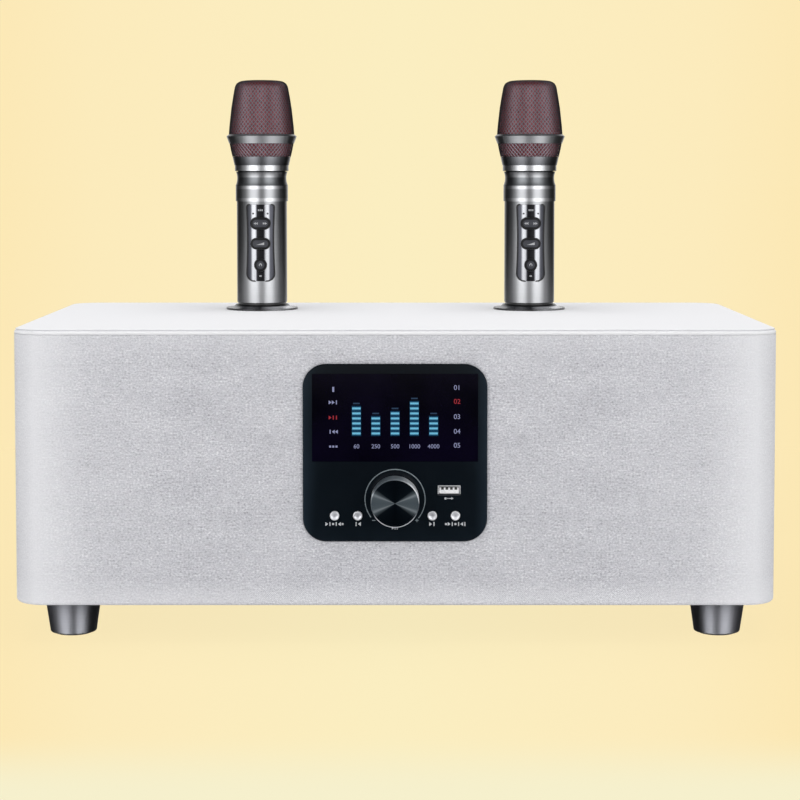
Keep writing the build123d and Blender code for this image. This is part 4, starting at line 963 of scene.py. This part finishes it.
def make_microphone(side, wire, foam, gasket, mark, hole):
    """A microphone's head, the gasket and marks of its faceplate, and the marks on its keys."""
    body = f"mic_{side}"
    make_head(side, wire)
    make_foam(side, foam)
    plate, crown = on_handle(side, plate_radius), on_handle(side, key_crown)
    rocker, volume, power = (KEYS[key][0] / MM - top_z / MM for key in ("rocker", "volume", "power"))
    rim = between(plate_edge(GASKET_REACH), plate_edge(-GASKET_OVERLAP))
    printed(f"{body}_gasket", rim, plate, gasket, GASKET_LOW, GASKET_TOP, body)
    marks = []
    for u in (-1.2, 0.0, 1.2):
        marks += bar(u, rocker + 8.8, 0.8, 1.1)
    marks += bar(0.0, power - 7.3, 1.5, 0.9)
    printed(f"{body}_plate_marks", marks, plate, mark, 0.0, MARK_TOP, body)
    # Two small holes, drawn as dark dots of painted shade.
    holes = disc(-4.8, rocker + 6.5, 0.6) + disc(4.8, rocker + 6.5, 0.6)
    printed(f"{body}_plate_holes", holes, plate, hole, 0.0, MARK_TOP, body)
    arrows = []
    for u, width in ((-3.7, -1.4), (-2.4, -1.4), (2.4, 1.4), (3.7, 1.4)):
        arrows += arrow(u, rocker, width, 1.7)
    printed(f"{body}_rocker_marks", arrows, crown, mark, 0.0, MARK_TOP, f"{body}_rocker_key")
    rising = wedge(0.0, volume - 0.8, 5.0, 1.7)
    printed(f"{body}_volume_mark", rising, crown, mark, 0.0, MARK_TOP, f"{body}_volume_key")
    switch = arc(0.0, power, 0.6, 1.05, -50, 230, 24) + bar(0.0, power + 0.8, 0.45, 1.1)
    printed(f"{body}_power_mark", switch, crown, mark, 0.0, MARK_TOP, f"{body}_power_key")


# ---------- dressing
def each(*parts):
    """Names of the parts on both microphones."""
    return [f"mic_{side}_{part}" for side in SIDES for part in parts]


FINE_GRAIN = (900.0, 900.0, 900.0)
black_rubber = speckled_finish("black_rubber", rgb(26, 26, 27), rgb(16, 16, 17), 1400.0, 0.85)
wire = wire_finish()
foam = speckled_finish("head_foam", rgb(124, 50, 57), rgb(78, 28, 34), 900.0, 0.95)
mark = speckled_finish("print_light", rgb(176, 177, 180), rgb(140, 141, 144), 1500.0, 0.5)
# Dark dots of painted shade stand in for the plate's holes.
hole = speckled_finish("hole_shade", rgb(18, 18, 20), rgb(30, 30, 32), 1500.0, 0.6)

dress(top_finish(), "top_panel")
dress(lacquer_finish("rim_lacquer", rgb(240, 240, 242), 0.45), "top_rim")
dress(grained_wood_finish(), "cabinet_shell", "bottom_board")
dress(brushed_finish("gunmetal", rgb(178, 179, 186), 0.42, (30.0, 30.0, 1800.0), 0.9), "feet")
dress(black_rubber, "foot_pads", "surround_left", "surround_right")
dress(brushed_finish("zinc", rgb(120, 121, 124), 0.4, (600.0, 600.0, 600.0)), "wood_screws", "driver_frames")
dress(
    plastic_finish("black_plastic", rgb(24, 24, 26), 0.45),
    "driver_grilles", "panel_housing", "rear_panel", "holder_cups", "power_inlet",
)
dress(speckled_finish("cone_paper", rgb(40, 40, 42), rgb(24, 24, 25), 600.0, 0.9), "cone_left", "cone_right")
dress(fascia_finish(), "control_panel")
dress(lens_finish(), "display_module")
dress(
    speckled_finish("circuit_board", rgb(18, 74, 42), rgb(96, 84, 40), 260.0, 0.45),
    "control_board", "amplifier_board", *each("circuit_board"),
)
dress(
    brushed_finish("bright_steel", rgb(205, 206, 210), 0.25, FINE_GRAIN),
    "encoder_body", "encoder_rotor", "encoder_shaft", "audio_jacks", *each("capsule"),
)
dress(plated_finish(), "usb_port")
dress(spun_finish(), "knob")
dress(button_finish(), *BUTTONS)
dress(brushed_finish("gold_plate", rgb(222, 180, 96), 0.25, FINE_GRAIN), "charge_contacts")
dress(holder_finish(), "holder_rings")
dress(handle_finish(), *each("body"))
dress(faceplate_finish(), *each("faceplate"))
dress(key_finish(), *each("rocker_key", "volume_key", "power_key"))
dress(collar_finish(), *each("collar", "band"))
dress(plastic_finish("gloss_black", rgb(16, 16, 18), 0.16, 0.004 * MM), *each("tail_cap"))
dress(speckled_finish("cell_wrap", rgb(30, 84, 150), rgb(22, 62, 116), 300.0, 0.4), *each("battery"))

make_cover()
make_display()
make_panel_prints()
make_port()
for side in SIDES:
    make_microphone(side, wire, foam, black_rubber, mark, hole)


# ---------- floor, background, lights and camera
# The cream deepens towards both sides: a painted fall-off of the light.
CREAM = [                    # by its share of CREAM_REACH
    (0.0, rgb(251, 238, 193)), (0.55, rgb(252, 236, 190)), (0.75, rgb(252, 235, 188)),
    (1.0, rgb(252, 232, 181)),
]
# Paler cream of the painted pool of light on the floor in front.
PAINTED_POOL_CREAM = rgb(246, 240, 205)
CREAM_REACH = 0.19           # sideways share of the view at which the cream is deepest
SCREEN_RADIANCE = 5.6
WORLD_RADIANCE = 0.42
camera_place = Vector((2.9 * MM, front_y - 1.2444, 0.2771))


def shown_shader(made, lit, shown):
    """The lit shader, and for the camera, gloss and glass the plain one."""
    rays = made.node("ShaderNodeLightPath").outputs
    either = rays["Is Camera Ray"]
    for kind in ("Is Glossy Ray", "Is Transmission Ray"):
        either = made.math("MAXIMUM", either, rays[kind])
    return made.node("ShaderNodeMixShader", [either, lit, shown]).outputs[0]


def surface(name, points, faces, made):
    """A mesh of one material."""
    mesh = bpy.data.meshes.new(name)
    mesh.from_pydata(points, [], faces)
    mesh.materials.append(made.material)
    return added(name, mesh)


def make_world():
    """Even white light, behind a cream background that a painted fall-off deepens to both sides."""
    world = bpy.data.worlds.new("studio")
    bpy.context.scene.world = world
    world.use_nodes = True
    made = Nodes(world.node_tree)
    lit = made.tree.nodes["Background"]
    lit.inputs["Color"].default_value = grey(1.0)
    lit.inputs["Strength"].default_value = WORLD_RADIANCE
    direction = made.node("ShaderNodeTexCoord").outputs["Generated"]
    sideways = made.math("ABSOLUTE", made.xyz(direction)[0])
    cream = made.ramp(made.math("DIVIDE", sideways, CREAM_REACH), CREAM)
    shown = made.node("ShaderNodeBackground", [cream])
    made.end("World Output", shown_shader(made, lit.outputs[0], shown.outputs[0]))


def make_floor():
    """Wide cream floor, paler in front under a painted pool of light and deeper to both sides by a painted
    fall-off, that keeps the object's shadow and fades into the background.
    """
    reach, strip_start = 40.0, -0.05
    made = Finish("floor_paper", rgb(236, 236, 236), 0.95, Specular_IOR_Level=0.0)
    x, y, _ = made.xyz(made.place())
    depth = made.math("MAXIMUM", made.math("SUBTRACT", y, camera_place.y), 0.1)
    sideways = made.math("DIVIDE", made.math("ABSOLUTE", x), depth)
    cream = made.ramp(made.math("DIVIDE", sideways, CREAM_REACH), CREAM)
    # Painted pool of light: a paler strip in front of the box, about its middle.
    in_front = made.ramp(made.math("SUBTRACT", strip_start, y), [
        (0.27, grey(0.0)), (0.38, grey(1.0)), (0.5, grey(1.0)), (0.95, grey(0.0)),
    ], smooth=True)
    in_middle = made.ramp(made.math("ABSOLUTE", x), [(0.2, grey(1.0)), (0.7, grey(0.0))], smooth=True)
    tone = made.mix(made.product(in_front, in_middle), cream, PAINTED_POOL_CREAM)
    shaded = made.node("ShaderNodeBsdfDiffuse", [tone]).outputs[0]
    plain = made.node("ShaderNodeEmission", [tone]).outputs[0]
    away = made.node("ShaderNodeVectorMath", [made.place()], operation="LENGTH").outputs["Value"]
    fade = made.ramp(away, [(0.35, grey(0.94)), (0.85, grey(1.0))], smooth=True)
    shown = made.node("ShaderNodeMixShader", [fade, shaded, plain]).outputs[0]
    made.end("Material Output", shown_shader(made, made.shader.outputs[0], shown))
    corners = [(-reach, -reach, 0), (reach, -reach, 0), (reach, reach, 0), (-reach, reach, 0)]
    surface("floor", corners, [range(4)], made)


def lamp(name, place, aim, width, height, radiance):
    """A soft rectangular lamp of an even radiance, which gloss doesn't see."""
    light = bpy.data.lights.new(name, "AREA")
    light.shape = "RECTANGLE"
    light.size, light.size_y = width, height
    light.energy = radiance * pi * width * height
    lit = added(name, light)
    lit.location = place
    lit.rotation_euler = (Vector(aim) - Vector(place)).to_track_quat("-Z", "Y").to_euler()
    lit.visible_glossy = False


def gloss_only(name, points, faces, made):
    """A glowing surface round the object that only metal and gloss see."""
    piece = surface(name, points, faces, made)
    piece.visible_camera = piece.visible_diffuse = False
    piece.visible_shadow = piece.visible_transmission = False


def glowing(name, tone, strength=1.0):
    """A surface that gives light of an even tone."""
    return Finish(
        name, grey(0.0), 1.0, Specular_IOR_Level=0.0, Emission_Color=tone, Emission_Strength=strength,
    )


def ringed(name, levels, clear=None):
    """A surface round the box whose glow follows (angle from the front, level) pairs, dark within clear."""
    made = glowing(name, grey(1.0), SCREEN_RADIANCE)
    x, y, _ = made.xyz(made.place())
    ahead = made.math("SUBTRACT", box_middle_y, y)
    turn = made.math("ARCTAN2", made.math("ABSOLUTE", x), ahead)
    glow = made.ramp(made.math("DIVIDE", turn, pi), [(angle / 180, grey(level)) for angle, level in levels])
    if clear:
        far = made.ramp(made.length(x, ahead), [(clear, grey(0.0)), (clear + 0.35, grey(1.0))], smooth=True)
        glow = made.mix(far, grey(0.004), glow)
    made.drive("Emission Color", glow)
    return made


def make_studio():
    """What metal and gloss reflect: a round wall with a bright screen on each side of the camera."""
    radius, high, low, steps = 1.9, 1.5, 0.0005, 96
    wall = ringed("studio_wall", [
        (0, 0.22), (8, 0.23), (14, 0.45), (22, 0.92), (33, 1.0), (48, 0.95), (60, 0.5), (74, 0.14),
        (99, 0.03), (134, 0.015), (155, 0.17), (180, 0.17),
    ])
    ground = ringed("studio_floor", [
        (0, 0.004), (10, 0.006), (16, 0.25), (24, 0.6), (33, 0.7), (48, 0.6), (60, 0.3), (74, 0.08),
        (99, 0.01), (180, 0.01),
    ], 0.45)
    turns = [2 * pi * i / steps for i in range(steps)]
    rounds = [(radius * sin(turn), box_middle_y + radius * cos(turn)) for turn in turns]
    foot = [(u, v, low) for u, v in rounds]
    head = [(u, v, high) for u, v in rounds]
    sides = [(i, (i + 1) % steps, steps + (i + 1) % steps, steps + i) for i in range(steps)]
    gloss_only("studio_wall", foot + head, sides, wall)
    gloss_only("studio_floor", foot, [range(steps)], ground)
    gloss_only("studio_ceiling", head, [range(steps)], glowing("studio_ceiling", rgb(96, 97, 100)))


def make_camera():
    """A long lens, a little above the box and tilted down."""
    tilt = 3.44
    view = bpy.data.cameras.new("camera")
    view.lens = 96.4
    view.sensor_width = 36.0
    view.shift_y = -0.125
    view.clip_start, view.clip_end = 0.05, 200.0
    camera = added("camera", view)
    camera.location = camera_place
    camera.rotation_euler = (radians(90 - tilt), 0.0, 0.0)
    bpy.context.scene.camera = camera


make_world()
make_floor()
aim = (0.0, front_y, 0.18)
for name, side in (("left", -1), ("right", 1)):
    lamp(f"softbox_{name}", (side * 1.0, front_y - 1.2, 0.62), aim, width=1.2, height=1.1, radiance=1.52)
lamp("overhead", (0.0, box_middle_y, 1.6), (0.0, box_middle_y, 0.0), width=1.6, height=1.1, radiance=2.38)
make_studio()
make_camera()
bpy.context.scene.view_settings.view_transform = "Standard"
